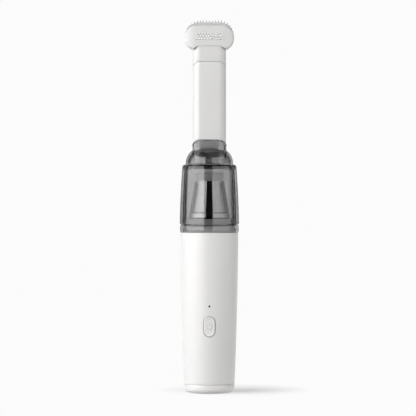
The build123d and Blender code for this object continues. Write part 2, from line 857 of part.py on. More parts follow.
mount_outer_r = min(shell_inner(mount_z), shell_inner(mount_z + mount_height)) - seat_gap
diffuser_ring_r = mount_outer_r - mount_wall - seat_gap / 2
ring_inner_r = diffuser_ring_r - diffuser_ring_wall
diffuser_hub_r = ring_inner_r - diffuser_channel
cover_r = diffuser_ring_r - fan_cover_step
impeller_r = cover_r - fan_cover_wall - impeller_tip_gap
blade_tip_r = impeller_r - impeller_blade_inset
impeller_blade_face = blade_outline(impeller_eye_r, blade_tip_r, -impeller_sweep_deg, impeller_blade)
with BuildPart() as fan_impeller:
    with BuildSketch(Plane.XY.offset(impeller_z)):
        Circle(impeller_r)
    extrude(amount=impeller_plate)
    with BuildSketch(Plane.XY.offset(impeller_z)):
        Circle(impeller_hub_r)
    extrude(amount=impeller_hub_height)
    with BuildSketch(Plane.XY.offset(impeller_z + impeller_plate)):
        with PolarLocations(0, impeller_blade_count):
            add(impeller_blade_face)
    extrude(amount=impeller_blade_height)
    with BuildSketch(Plane.XY.offset(impeller_z)):
        Circle(shaft_r)
    extrude(amount=impeller_hub_height, mode=Mode.SUBTRACT)
fan_impeller.part.label = "fan_impeller"
export_step(fan_impeller.part, "parts/fan_impeller.step")

# Diffuser: it carries the motor and turns the air down past it with a ring of vanes
vane_z = diffuser_low_z + diffuser_height / 2
vane_height = diffuser_height - 2 * diffuser_vane_inset
with BuildPart() as diffuser:
    with BuildSketch(Plane.XY.offset(diffuser_z)):
        Circle(diffuser_hub_r)
        Circle(boss_r + seat_gap, mode=Mode.SUBTRACT)
        with Locations((-motor_screw_x, 0), (motor_screw_x, 0)):
            Circle(motor_screw_r + seat_gap, mode=Mode.SUBTRACT)
    extrude(amount=diffuser_plate)
    with BuildSketch(Plane.XY.offset(diffuser_low_z)):
        Circle(diffuser_ring_r)
        Circle(ring_inner_r, mode=Mode.SUBTRACT)
        Circle(diffuser_hub_r)
        Circle(diffuser_hub_r - diffuser_ring_wall, mode=Mode.SUBTRACT)
    extrude(amount=diffuser_height)
    for index in range(diffuser_vane_count):
        angle = index * 360 / diffuser_vane_count
        facing = Vector(*polar(1, angle))
        across = Vector(-facing.Y, facing.X, 0)
        root = facing * (diffuser_hub_r - diffuser_vane_bite) + Vector(0, 0, vane_z)
        with BuildSketch(Plane(origin=root, x_dir=across, z_dir=facing)):
            Rectangle(diffuser_vane, vane_height, rotation=diffuser_vane_lean_deg)
        extrude(amount=diffuser_channel + 2 * diffuser_vane_bite)
diffuser.part.label = "diffuser"
export_step(diffuser.part, "parts/diffuser.step")

with BuildPart() as motor_screws:
    with BuildSketch(Plane.XY.offset(diffuser_z - motor_face_wall)):
        with Locations((-motor_screw_x, 0), (motor_screw_x, 0)):
            Circle(motor_screw_r)
    extrude(amount=motor_face_wall + diffuser_plate)
    with BuildSketch(Plane.XY.offset(diffuser_z + diffuser_plate)):
        with Locations((-motor_screw_x, 0), (motor_screw_x, 0)):
            Circle(motor_screw_head_r)
    extrude(amount=motor_screw_head)
motor_screws.part.label = "motor_screws"
export_step(motor_screws.part, "parts/motor_screws.step")

# Fan cover with its eye, and the ring that seals it to the intake
with BuildPart() as fan_cover:
    with BuildSketch(Plane.XZ):
        with BuildLine():
            Polyline(
                (cover_r, cover_z), (cover_r, cover_top_z),
                (fan_eye_r + fan_cover_wall, cover_top_z), (fan_eye_r + fan_cover_wall, fan_lip_z),
                (fan_eye_r, fan_lip_z), (fan_eye_r, cover_inner_top_z),
                (cover_r - fan_cover_wall, cover_inner_top_z),
                (cover_r - fan_cover_wall, cover_z), close=True,
            )
        make_face()
    revolve(axis=Axis.Z)
fan_cover.part.label = "fan_cover"
export_step(fan_cover.part, "parts/fan_cover.step")

gasket_inner_r = fan_eye_r + fan_cover_wall + seat_gap
with BuildPart() as fan_gasket:
    add(ring(gasket_inner_r + gasket_wall, gasket_inner_r, cover_top_z, collar_floor_z))
fan_gasket.part.label = "fan_gasket"
export_step(fan_gasket.part, "parts/fan_gasket.step")

with BuildPart() as front_mount:
    add(ring(mount_outer_r, mount_outer_r - mount_wall, mount_z, mount_z + mount_height))
front_mount.part.label = "front_mount"
export_step(front_mount.part, "parts/front_mount.step")

# Foam behind the exhaust slots, standing on the cradle's deck
foam_outer_r = shell_inner(deck_top_z) - fit_gap
with BuildPart() as exhaust_foam:
    with BuildSketch(Plane.XY.offset(deck_top_z)):
        Circle(foam_outer_r)
        Circle(foam_outer_r - foam_thickness, mode=Mode.SUBTRACT)
        with BuildLine():
            wedge_a = polar(3 * foam_outer_r, 90 - foam_arc_deg / 2)
            wedge_b = polar(3 * foam_outer_r, 90 + foam_arc_deg / 2)
            Polyline((0, 0), wedge_a, wedge_b, close=True)
        make_face(mode=Mode.INTERSECT)
    extrude(amount=mount_z - seat_gap - deck_top_z)
exhaust_foam.part.label = "exhaust_foam"
export_step(exhaust_foam.part, "parts/exhaust_foam.step")

# Intake collar: floor with the air hole, grille, and the neck that the cup slides over
collar_skirt_r = min(shell_inner(collar_floor_z), shell_inner(shell_top_z)) - seat_gap
with BuildPart() as intake_collar:
    with BuildSketch(Plane.XZ):
        with BuildLine():
            Polyline(
                (gasket_inner_r, collar_floor_z), (collar_skirt_r, collar_floor_z),
                (collar_skirt_r, shell_top_z), (neck_r, shell_top_z), (neck_r, neck_top_z),
                (neck_bore_r, neck_top_z), (neck_bore_r, collar_floor_z + collar_floor),
                (gasket_inner_r, collar_floor_z + collar_floor), close=True,
            )
        make_face()
    revolve(axis=Axis.Z)
    bar_length = neck_bore_r + grille_bite
    with BuildSketch(Plane.XY.offset(grille_z)):
        Circle(grille_ring_r)
        Circle(grille_ring_r - grille_bar, mode=Mode.SUBTRACT)
        Circle(grille_hub_r)
        for index in range(grille_bar_count):
            angle = index * 360 / grille_bar_count
            with Locations(Location(polar(bar_length / 2, angle), angle)):
                Rectangle(bar_length, grille_bar)
    extrude(amount=grille_bar)
intake_collar.part.label = "intake_collar"
export_step(intake_collar.part, "parts/intake_collar.step")

# Filter: base with the rim for its seal, seal, conical frame, black ribs, mesh, pleats and cap
rim_inner_r = seal_rim_r - seal_rim_wall
frame_seat_r = filter_foot_r + seat_gap
base_hole_r = filter_foot_r - filter_wall - filter_base_ledge
with BuildPart() as filter_base:
    with BuildSketch(Plane.XZ):
        with BuildLine():
            Polyline(
                (rim_inner_r, seal_z), (seal_rim_r, seal_z), (seal_rim_r, flange_z),
                (filter_base_r, flange_z), (filter_base_r, filter_base_top_z - filter_base_edge),
                (filter_base_r - filter_base_edge, filter_base_top_z),
                (frame_seat_r, filter_base_top_z), (frame_seat_r, frame_z),
                (base_hole_r, frame_z), (base_hole_r, flange_z), (rim_inner_r, flange_z), close=True,
            )
        make_face()
    revolve(axis=Axis.Z)
filter_base.part.label = "filter_base"
export_step(filter_base.part, "parts/filter_base.step")

with BuildPart() as filter_seal:
    add(ring(seal_lip_r, seal_rim_r + seat_gap / 2, seal_z, flange_z))
filter_seal.part.label = "filter_seal"
export_step(filter_seal.part, "parts/filter_seal.step")

cone_slope = (filter_head_r - filter_foot_r) / filter_cone_height


def cone_r(z):
    """Outer radius of the filter's conical frame at a height."""
    return filter_foot_r + cone_slope * (max(z, filter_base_top_z) - filter_base_top_z)


window_low_z = filter_base_top_z + filter_low_band
window_high_z = filter_head_z - filter_high_band


def cone_ring(outer_shift, inner_shift, bottom, top):
    """A conical ring that follows the filter frame's slope."""
    with BuildPart() as made:
        with BuildSketch(Plane.XZ):
            with BuildLine():
                corners = [(cone_r(bottom) + outer_shift, bottom)]
                if bottom < filter_base_top_z:
                    corners.append((filter_foot_r + outer_shift, filter_base_top_z))
                corners.append((cone_r(top) + outer_shift, top))
                corners.append((cone_r(top) + inner_shift, top))
                if bottom < filter_base_top_z:
                    corners.append((filter_foot_r + inner_shift, filter_base_top_z))
                corners.append((cone_r(bottom) + inner_shift, bottom))
                Polyline(*corners, close=True)
            make_face()
        revolve(axis=Axis.Z)
    return made.part


def rib_wedge(low_w, high_w, bottom, top, angle):
    """A tall tapering slab that reaches out from the axis at an angle."""
    facing = Vector(*polar(1, angle))
    across = Vector(-facing.Y, facing.X, 0)
    with BuildPart() as made:
        with BuildSketch(Plane(origin=facing * (filter_head_r / 2), x_dir=across, z_dir=facing)):
            with BuildLine():
                Polyline((-low_w / 2, bottom), (low_w / 2, bottom), (high_w / 2, top), (-high_w / 2, top),
                         close=True)
            make_face()
        extrude(amount=filter_foot_r)
    return made.part


rib_angles = [270 + index * 360 / rib_count for index in range(rib_count)]
frame_wall = cone_ring(0, -filter_wall, frame_z, filter_head_z)
frame_windows = cone_ring(overcut, -2 * filter_wall, window_low_z, window_high_z)
frame_posts = [rib_wedge(rib_low_w, rib_high_w, window_low_z - overcut, window_high_z + overcut, angle)
               for angle in rib_angles]
with BuildPart() as window_cut:
    add(frame_windows)
    for post in frame_posts:
        add(post, mode=Mode.SUBTRACT)
with BuildPart() as filter_frame:
    add(frame_wall)
    add(window_cut.part, mode=Mode.SUBTRACT)
filter_frame.part.label = "filter_frame"
export_step(filter_frame.part, "parts/filter_frame.step")

rib_rings = cone_ring(rib_proud, seat_gap, filter_base_top_z, filter_base_top_z + rib_ring)
rib_skin = cone_ring(rib_proud, seat_gap, filter_base_top_z, filter_head_z)
rib_slabs = [rib_wedge(rib_low_w, rib_high_w, filter_base_top_z - overcut, filter_head_z + overcut, angle)
             for angle in rib_angles]
with BuildPart() as all_slabs:
    for slab in rib_slabs:
        add(slab)
with BuildPart() as filter_ribs:
    add(rib_skin)
    add(all_slabs.part, mode=Mode.INTERSECT)
    add(rib_rings)
filter_ribs.part.label = "filter_ribs"
export_step(filter_ribs.part, "parts/filter_ribs.step")

with BuildPart() as filter_mesh:
    add(cone_ring(-filter_wall - seat_gap / 2, -filter_wall - mesh_thickness,
                  frame_z, filter_head_z - seat_gap))
filter_mesh.part.label = "filter_mesh"
export_step(filter_mesh.part, "parts/filter_mesh.step")


def pleat_star(outer_r):
    """The outline of the folded paper, as seen down the axis."""
    points = []
    for index in range(2 * pleat_count):
        radius = outer_r if index % 2 == 0 else outer_r - pleat_depth
        points.append(polar(radius, index * 180 / pleat_count))
    return points


with BuildPart() as filter_pleats:
    for z, star_r in ((frame_z + seat_gap, pleat_low_r), (filter_head_z - seat_gap, pleat_high_r)):
        with BuildSketch(Plane.XY.offset(z)):
            with BuildLine():
                Polyline(*pleat_star(star_r), close=True)
            make_face()
    loft(ruled=True)
filter_pleats.part.label = "filter_pleats"
export_step(filter_pleats.part, "parts/filter_pleats.step")

with BuildPart() as filter_cap:
    with BuildSketch(Plane.XY.offset(filter_head_z)):
        Circle(filter_cap_r)
    extrude(amount=filter_cap_height)
    fillet(filter_cap.edges().group_by(Axis.Z)[-1], radius=filter_cap_edge)
filter_cap.part.label = "filter_cap"
export_step(filter_cap.part, "parts/filter_cap.step")

# Dust cup
cup_mid_z = (cup_wall_z + cup_shoulder_z - cup_shoulder_edge) / 2
cavity_high_r = cup_high_r - cup_high_wall
cavity_edge_z = cavity_top_z - cup_inner_edge
dome_inner_r = dome_r - dome_wall
cavity_edge_reach = cup_inner_edge - (cavity_high_r - dome_inner_r)
cavity_mouth_z = cavity_edge_z + sqrt(cup_inner_edge ** 2 - cavity_edge_reach ** 2)
dome_centre_r = dome_r - dome_curve
dome_top_z = dome_rise_z + dome_curve
dome_inner_top_z = dome_top_z - dome_wall
with BuildPart() as cup_cavity:
    with BuildSketch(Plane.XZ):
        with BuildLine():
            Polyline((0, cup_z - overcut), (cup_bore_r, cup_z - overcut), (cup_bore_r, cavity_low_z),
                     (cavity_high_r, cavity_edge_z))
            TangentArc((cavity_high_r, cavity_edge_z), (dome_inner_r, cavity_mouth_z), tangent=(0, 1))
            Line((dome_inner_r, cavity_mouth_z), (dome_inner_r, dome_rise_z))
            TangentArc((dome_inner_r, dome_rise_z), (dome_centre_r, dome_inner_top_z), tangent=(0, 1))
            Polyline((dome_centre_r, dome_inner_top_z), (0, dome_inner_top_z), (0, cup_z - overcut))
        make_face()
    revolve(axis=Axis.Z)

bore_w = socket_w - 2 * socket_wall
bore_d = socket_d - 2 * socket_wall
bore_corner = socket_corner - socket_wall
rim_slab = scalloped_slab(socket_floor_z, socket_rim_z, rim_drop, rim_drop)
bead_slab = scalloped_slab(socket_rim_z - bead_height, socket_rim_z, rim_drop, rim_drop)
socket_block = rounded_prism(socket_w, socket_d, socket_corner, dome_rise_z, socket_rim_z + overcut)
bead_block = rounded_prism(socket_w + 2 * bead_proud, socket_d + 2 * bead_proud, socket_corner + bead_proud,
                           dome_rise_z, socket_rim_z + overcut)
duct_top_z = dome_top_z - dome_wall / 2
duct_block = rounded_prism(socket_w, socket_d, socket_corner, socket_floor_z, duct_top_z)
bore_block = rounded_prism(bore_w, bore_d, bore_corner, socket_floor_z - overcut, socket_rim_z + overcut)
with BuildPart() as bead_ring:
    add(bead_block)
    add(bead_slab, mode=Mode.INTERSECT)
with BuildPart() as socket_body:
    add(socket_block)
    add(rim_slab, mode=Mode.INTERSECT)

flap_axis_y = socket_d / 2 + flap_hinge_back
flap_axis_z = socket_floor_z - seat_gap - flap_thickness / 2
lug_x = flap_hinge_half + fit_gap + flap_lug_w / 2
with BuildPart() as dust_cup:
    with BuildSketch(Plane.XZ):
        with BuildLine():
            Polyline(
                (0, cup_z), (cup_ring_r, cup_z), (cup_ring_r, cup_ring_top_z),
                (cup_ring_r - cup_step, cup_ring_top_z), (cup_ring_r - cup_step, cup_ring_top_z + cup_step),
                (cup_low_r, cup_wall_z),
            )
            ThreePointArc((cup_low_r, cup_wall_z), (cup_mid_r, cup_mid_z),
                          (cup_high_r, cup_shoulder_z - cup_shoulder_edge))
            TangentArc((cup_high_r - cup_shoulder_edge, cup_shoulder_z),
                       (cup_high_r, cup_shoulder_z - cup_shoulder_edge), tangent=(1, 0))
            Polyline((cup_high_r - cup_shoulder_edge, cup_shoulder_z), (dome_r, cup_shoulder_z),
                     (dome_r, dome_rise_z))
            TangentArc((dome_r, dome_rise_z), (dome_centre_r, dome_top_z), tangent=(0, 1))
            Polyline((dome_centre_r, dome_top_z), (0, dome_top_z), (0, cup_z))
        make_face()
    revolve(axis=Axis.Z)
    add(socket_body.part)
    add(bead_ring.part)
    add(cup_cavity.part, mode=Mode.SUBTRACT)
    add(duct_block)
    add(bore_block, mode=Mode.SUBTRACT)
    for lug_side in (-1, 1):
        with BuildSketch(Plane.YZ.offset(lug_side * lug_x)):
            with Locations((flap_axis_y, flap_axis_z)):
                Circle(flap_lug_r)
            with Locations((flap_axis_y - flap_hinge_back / 2, flap_axis_z + flap_lug_height / 2)):
                Rectangle(flap_hinge_back + 2 * seat_gap, flap_lug_height)
            with Locations((flap_axis_y + flap_lug_r / 2, flap_axis_z + flap_lug_height / 2)):
                Rectangle(flap_lug_r, flap_lug_height)
            with Locations((flap_axis_y, flap_axis_z)):
                Circle(flap_pin_r, mode=Mode.SUBTRACT)
        extrude(amount=flap_lug_w / 2, both=True)
dust_cup.part.label = "dust_cup"
export_step(dust_cup.part, "parts/dust_cup.step")

# Dust flap, its lip a little larger than the duct, hung on a pin behind the duct
pin_half = lug_x + flap_lug_w / 2
flap_w = bore_w + 2 * flap_overlap
flap_d = bore_d + 2 * flap_overlap
flap_top_z = socket_floor_z - seat_gap
with BuildPart() as flap_pin:
    with BuildSketch(Plane.YZ):
        with Locations((flap_axis_y, flap_axis_z)):
            Circle(flap_pin_r)
    extrude(amount=pin_half, both=True)
flap_pin.part.label = "flap_pin"
export_step(flap_pin.part, "parts/flap_pin.step")

with BuildPart() as inlet_flap:
    with BuildSketch(Plane.XY.offset(flap_top_z - flap_thickness)):
        RectangleRounded(flap_w, flap_d, bore_corner)
        with Locations((0, (flap_d / 2 + flap_axis_y) / 2 - flap_tongue)):
            Rectangle(2 * flap_hinge_half, flap_axis_y - flap_d / 2 + 2 * flap_tongue)
    extrude(amount=flap_thickness)
    with BuildSketch(Plane.YZ):
        with Locations((flap_axis_y, flap_axis_z)):
            Circle(flap_hinge_r)
    extrude(amount=flap_hinge_half, both=True)
    with BuildSketch(Plane.YZ):
        with Locations((flap_axis_y, flap_axis_z)):
            Circle(flap_pin_r + running_gap)
    extrude(amount=pin_half, both=True, mode=Mode.SUBTRACT)
inlet_flap.part.label = "inlet_flap"
export_step(inlet_flap.part, "parts/inlet_flap.step")

# Nozzle tube: its spigot sits in the socket, and both its visible edges follow the scallop
tube_slab = scalloped_slab(socket_rim_z + seat_gap, tube_top_z, rim_drop, edge_drop)
tube_block = rounded_prism(tube_w, tube_d, tube_corner, socket_floor_z, tube_top_z + overcut)
tube_spigot_w = bore_w - 2 * fit_gap
tube_spigot_d = bore_d - 2 * fit_gap
tube_spigot_corner = bore_corner - fit_gap
tube_bore_w = tube_w - 2 * tube_wall
tube_bore_d = tube_d - 2 * tube_wall
tube_bore_corner = tube_corner - tube_wall
with BuildPart() as nozzle_tube:
    add(tube_block)
    add(tube_slab, mode=Mode.INTERSECT)
    with BuildSketch(Plane.XY.offset(socket_rim_z - spigot_length)):
        RectangleRounded(tube_spigot_w, tube_spigot_d, tube_spigot_corner)
    extrude(amount=spigot_length)
    with BuildSketch(Plane.XY.offset(socket_rim_z - spigot_length)):
        RectangleRounded(tube_spigot_w - 2 * spigot_wall, tube_spigot_d - 2 * spigot_wall,
                         tube_spigot_corner - spigot_wall)
    extrude(amount=tube_top_z - socket_rim_z + spigot_length, mode=Mode.SUBTRACT)
    with BuildSketch(Plane.XY.offset(tube_top_z - neck_spigot_length - fit_gap)):
        RectangleRounded(tube_bore_w, tube_bore_d, tube_bore_corner)
    extrude(amount=neck_spigot_length + fit_gap + overcut, mode=Mode.SUBTRACT)
nozzle_tube.part.label = "nozzle_tube"
export_step(nozzle_tube.part, "parts/nozzle_tube.step")

# Brush head: the neck with its spigot, and a crowned stadium over it, open at the back.
# The stadium stands a little proud of the neck, and its lip over the neck follows the scallop.
neck_slab = scalloped_slab(neck_bottom_z, head_z + edge_drop, edge_drop, edge_drop)
neck_block = rounded_prism(tube_w, tube_d, tube_corner, tube_top_z - tube_d, head_z)
lip_slab = scalloped_slab(neck_bottom_z, head_z - head_h / 2 + head_lip_rise, edge_drop, head_lip_drop)
lip_block = rounded_prism(tube_w, tube_d + 2 * head_front_proud, tube_corner, tube_top_z, head_z)
neck_spigot_w = tube_bore_w - 2 * fit_gap
neck_spigot_d = tube_bore_d - 2 * fit_gap
neck_spigot_corner = tube_bore_corner - fit_gap
comb_h = head_h + comb_rise
head_inside = stadium_prism(head_w - 2 * head_wall, head_h - 2 * head_wall, head_z,
                            head_front_y + head_crown + head_wall, head_back_y + overcut)
comb_space = stadium_prism(head_w, comb_h, comb_z, head_back_y, comb_back_y + overcut)
head_flat_half = (head_w - head_h) / 2
shoulder_y = head_front_y + head_crown
with BuildPart() as head_pod:
    add(stadium_prism(head_w, head_h, head_z, head_front_y, head_back_y))
    with BuildSketch(Plane.XY.offset(head_z - head_h)):
        with BuildLine():
            TangentArc((-head_flat_half, head_front_y), (-head_w / 2, shoulder_y), tangent=(-1, 0))
            Line((-head_flat_half, head_front_y), (head_flat_half, head_front_y))
            TangentArc((head_flat_half, head_front_y), (head_w / 2, shoulder_y), tangent=(1, 0))
            Polyline((-head_w / 2, shoulder_y), (-head_w / 2, head_back_y), (head_w / 2, head_back_y),
                     (head_w / 2, shoulder_y))
        make_face()
    extrude(amount=2 * head_h, mode=Mode.INTERSECT)
    front_edges = head_pod.edges().filter_by_position(Axis.Y, head_front_y - seam, shoulder_y + seam)
    front_edges = front_edges - head_pod.edges().filter_by(Axis.Z)
    fillet(front_edges, radius=head_edge)
with BuildPart() as lip_relief:
    add(lip_block)
    add(lip_slab, mode=Mode.INTERSECT)
with BuildPart() as neck_body:
    add(neck_block)
    add(neck_slab, mode=Mode.INTERSECT)
    with BuildSketch(Plane.XY.offset(tube_top_z - neck_spigot_length)):
        RectangleRounded(neck_spigot_w, neck_spigot_d, neck_spigot_corner)
    extrude(amount=neck_spigot_length + seam)
with BuildPart() as brush_head:
    add(head_pod.part)
    add(lip_relief.part, mode=Mode.SUBTRACT)
    add(neck_body.part)
    add(head_inside, mode=Mode.SUBTRACT)
    add(comb_space, mode=Mode.SUBTRACT)
    with BuildSketch(Plane.XY.offset(tube_top_z - neck_spigot_length)):
        RectangleRounded(neck_spigot_w - 2 * neck_spigot_wall, neck_spigot_d - 2 * neck_spigot_wall,
                         neck_spigot_corner - neck_spigot_wall)
    extrude(amount=head_z - tube_top_z + neck_spigot_length, mode=Mode.SUBTRACT)
brush_head.part.label = "brush_head"
export_step(brush_head.part, "parts/brush_head.step")

# Comb plate: it closes the back of the head round the mouth, with a row of teeth along its edge
tooth_y = (head_back_y + comb_back_y) / 2
end_r = comb_h / 2
straight_half = (head_w - comb_h) / 2


def tooth_spot(distance):
    """Place and turn of a tooth at a distance along the edge from the middle of the top.

    The teeth get lower round the ends of the plate, as their turn grows.
    """
    along = abs(distance)
    side = 1 if distance >= 0 else -1
    if along <= straight_half:
        return side * along, comb_z + end_r, 0.0
    turn = (along - straight_half) / end_r
    x = straight_half + end_r * sin(turn)
    return side * x, comb_z + end_r * cos(turn), -side * degrees(turn)


with BuildPart() as comb_plate:
    add(stadium_prism(head_w, comb_h, comb_z, head_back_y, comb_back_y))
    fillet(comb_plate.faces().sort_by(Axis.Y)[-1].edges(), radius=comb_edge)
    with BuildSketch(Plane.XZ.offset(-tooth_y)):
        for index in range(-teeth_each_side, teeth_each_side + 1):
            tooth_x, tooth_z, tooth_turn = tooth_spot(index * tooth_pitch)
            with Locations(Location((tooth_x, tooth_z), tooth_turn)):
                Rectangle(tooth_w, 2 * tooth_height * cos(radians(tooth_turn)) ** 2)
    extrude(amount=tooth_depth / 2, both=True)
    add(stadium_prism(mouth_w, mouth_h, comb_z, head_back_y - overcut, comb_back_y + overcut),
        mode=Mode.SUBTRACT)
    mouth_edges = comb_plate.faces().filter_by(Axis.Y).sort_by(Axis.Y)[-1].inner_wires()[0].edges()
    chamfer(mouth_edges, length=mouth_edge)
comb_plate.part.label = "comb_plate"
export_step(comb_plate.part, "parts/comb_plate.step")
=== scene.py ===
# %% [markdown]
# # A handheld vacuum cleaner, dressed for a studio picture
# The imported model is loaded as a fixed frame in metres. The pieces below are built round it, each
# on the body that carries it. The inner parts keep their own meshes and only get a finish.

# %% Load the frame
from math import acos, atan2, cos, degrees, pi, radians, sin, sqrt

import bmesh
import bpy
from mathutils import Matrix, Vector


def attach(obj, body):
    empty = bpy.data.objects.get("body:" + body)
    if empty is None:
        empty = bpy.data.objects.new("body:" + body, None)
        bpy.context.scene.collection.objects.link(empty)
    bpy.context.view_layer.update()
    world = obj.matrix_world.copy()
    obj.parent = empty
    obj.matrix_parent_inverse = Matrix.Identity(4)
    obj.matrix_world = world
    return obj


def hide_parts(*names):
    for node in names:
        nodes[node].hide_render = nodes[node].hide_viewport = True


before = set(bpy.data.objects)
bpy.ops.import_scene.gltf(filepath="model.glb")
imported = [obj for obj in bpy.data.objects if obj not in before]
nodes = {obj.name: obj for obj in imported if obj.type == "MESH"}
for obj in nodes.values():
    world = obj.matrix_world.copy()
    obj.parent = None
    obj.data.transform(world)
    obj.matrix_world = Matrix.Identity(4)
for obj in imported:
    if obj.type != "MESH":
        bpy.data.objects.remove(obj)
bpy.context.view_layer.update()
MM = 0.001


def mm(*values):
    """Lengths or points given in millimetres, in metres."""
    return [tuple(mm(*value)) if isinstance(value, tuple) else value * MM for value in values]


# %% [markdown]
# ## The camera
# The photograph looks straight at the front with a long lens. One pixel of its 416 is one
# millimetre at the vacuum's axis, the eye is half way up the picture, and the axis stands a little
# right of the middle.

# %% Camera
def add_object(name, data):
    """A new object at the origin of the scene."""
    made = bpy.data.objects.new(name, data)
    bpy.context.scene.collection.objects.link(made)
    return made


picture_px = 416
sensor_mm = 36.0
eye_distance, eye_height, axis_right_of_middle = mm(2180, 184.5, 1.4)
long_lens = bpy.data.cameras.new("long_lens")
long_lens.sensor_width = sensor_mm
long_lens.lens = sensor_mm * eye_distance / (picture_px * MM)
camera = add_object("camera", long_lens)
camera.location = (-axis_right_of_middle, -eye_distance, eye_height)
camera.rotation_euler = (pi / 2, 0, 0)
bpy.context.scene.camera = camera
print("lens", round(long_lens.lens, 1), "mm")

# %% [markdown]
# ## Helpers for meshes
# Every smooth form here is a stack of rings skinned with quads: circles for the turned barrel,
# rounded rectangles for the tube. Only real corners stay sharp. A finished piece is dressed: it
# gets its material and body, and the node it replaces is hidden.

# %% Mesh helpers
SMOOTH_ANGLE = radians(32)
MERGE_WITHIN, NEEDLE_WITHIN = mm(0.002, 0.001)


def finish_mesh(mesh):
    """Merges doubles, turns the normals outwards and marks the sharp edges."""
    work = bmesh.new()
    work.from_mesh(mesh)
    bmesh.ops.remove_doubles(work, verts=work.verts, dist=MERGE_WITHIN)
    bmesh.ops.dissolve_degenerate(work, dist=NEEDLE_WITHIN, edges=work.edges)
    bmesh.ops.recalc_face_normals(work, faces=work.faces)
    work.to_mesh(mesh)
    work.free()
    mesh.shade_smooth()
    mesh.set_sharp_from_angle(angle=SMOOTH_ANGLE)
    return mesh


def skin(name, rings, loop=False):
    """A mesh through rings of equal length: a loop of rings, or a stack with both ends closed."""
    count, last = len(rings[0]), len(rings) - 1
    faces = []
    for step in range(last + 1 if loop else last):
        low, high = step * count, (step + 1) % len(rings) * count
        for i in range(count):
            j = (i + 1) % count
            faces.append((low + i, low + j, high + j, high + i))
    if not loop:
        faces += [tuple(range(start * count, (start + 1) * count)) for start in (0, last)]
    mesh = bpy.data.meshes.new(name)
    mesh.from_pydata([point for ring in rings for point in ring], [], faces)
    return add_object(name, finish_mesh(mesh))


def full_turn(count):
    return [2 * pi * i / count for i in range(count)]


def lathe(name, profile, count=160):
    """Spins a closed profile of (radius, height) about Z."""
    turns = full_turn(count)
    rings = [[(r * cos(t), r * sin(t), z) for t in turns] for r, z in profile]
    return skin(name, rings, loop=True)


def arc(centre, radius, start_deg, end_deg, steps=10):
    """Profile points on an arc; 0 degrees points outwards and 90 degrees up."""
    turns = [radians(start_deg + (end_deg - start_deg) * i / steps) for i in range(steps + 1)]
    return [(centre[0] + radius * cos(t), centre[1] + radius * sin(t)) for t in turns]


def apply_modifier(target):
    """The target's mesh as its modifier makes it; the modifier is then removed."""
    graph = bpy.context.evaluated_depsgraph_get()
    mesh = bpy.data.meshes.new_from_object(target.evaluated_get(graph))
    target.modifiers.clear()
    return mesh


def cut(target, tool, operation="DIFFERENCE"):
    """Takes the tool out of the target and removes the tool."""
    modifier = target.modifiers.new("cut", "BOOLEAN")
    modifier.operation = operation
    modifier.solver = "EXACT"
    modifier.object = tool
    target.data = finish_mesh(apply_modifier(target))
    bpy.data.objects.remove(tool)


def fuse(target, tool):
    """Joins the tool to the target as one solid."""
    cut(target, tool, "UNION")


def join(target, *others):
    """Puts the meshes of several objects into the first one, each still a shell of its own."""
    work = bmesh.new()
    for piece in (target, *others):
        work.from_mesh(piece.data)
    work.to_mesh(target.data)
    work.free()
    for other in others:
        bpy.data.objects.remove(other)
    finish_mesh(target.data)
    return target


def dress(piece, material, body, node=None):
    """Gives a piece its finish and its body, and hides the model's node that it replaces."""
    piece.data.materials.clear()
    piece.data.materials.append(material)
    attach(piece, body)
    if node:
        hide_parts(node)
    print(piece.name, "rides the", body + ":", len(piece.data.polygons), "faces")


print("helpers ready")

# %% [markdown]
# ## Helpers for nodes
# A node tree is written as nested calls: each helper adds one node, sets or links its sockets, and
# hands on its output.

# %% Node helpers
def feed(tree, node, sockets):
    """Sets the sockets of a node to values, or links them to the outputs of other nodes."""
    for key, value in sockets.items():
        if isinstance(value, bpy.types.NodeSocket):
            tree.links.new(value, node.inputs[key])
        else:
            node.inputs[key].default_value = value


def add_node(tree, kind, sockets=None, **settings):
    """Adds a node with its settings, feeds its sockets and hands on its outputs."""
    made = tree.nodes.new(kind)
    for key, value in settings.items():
        setattr(made, key, value)
    feed(tree, made, sockets or {})
    return made.outputs


def calc(tree, operation, *values):
    """One step of arithmetic on numbers and outputs."""
    sockets = dict(enumerate(values))
    return add_node(tree, "ShaderNodeMath", sockets, operation=operation)[0]


def spread(tree, value, low, high, to_low, to_high):
    """Maps a value from one range to another, and holds it at the ends."""
    sockets = {"From Min": low, "From Max": high, "To Min": to_low, "To Max": to_high}
    return add_node(tree, "ShaderNodeMapRange", {"Value": value, **sockets})["Result"]


def noise(tree, place, scale, detail):
    sockets = {"Vector": place, "Scale": scale, "Detail": detail}
    return add_node(tree, "ShaderNodeTexNoise", sockets)["Fac"]


def bump(tree, height, strength, distance):
    sockets = {"Height": height, "Strength": strength, "Distance": distance}
    return add_node(tree, "ShaderNodeBump", sockets)["Normal"]


def blend(tree, factor, colour, other):
    """The first colour where the factor is 0, the other where it is 1."""
    sockets = {"Factor": factor, "A": (*colour, 1), "B": (*other, 1)}
    return add_node(tree, "ShaderNodeMix", sockets, data_type="RGBA")["Result"]


def split(tree, vector):
    """The outputs X, Y and Z of a vector."""
    return add_node(tree, "ShaderNodeSeparateXYZ", {"Vector": vector})


def grey(tone):
    return tone, tone, tone


def new_material(name):
    """A new material, its tree, its shader and its Object coordinates."""
    material = bpy.data.materials.new(name)
    material.use_nodes = True
    tree = material.node_tree
    place = add_node(tree, "ShaderNodeTexCoord")["Object"]
    return material, tree, tree.nodes["Principled BSDF"], place


print("node helpers ready")

# %% [markdown]
# ## Finishes
# Moulded plastic is never quite even: the tool leaves a very fine grain, and the colour drifts a
# little over a hand's width. One function makes that finish for all plastics and rubbers, from two
# noises on Object coordinates.

# %% Plastic and rubber
DRIFT_SCALE, GRAIN_STRENGTH = 38.0, 0.35


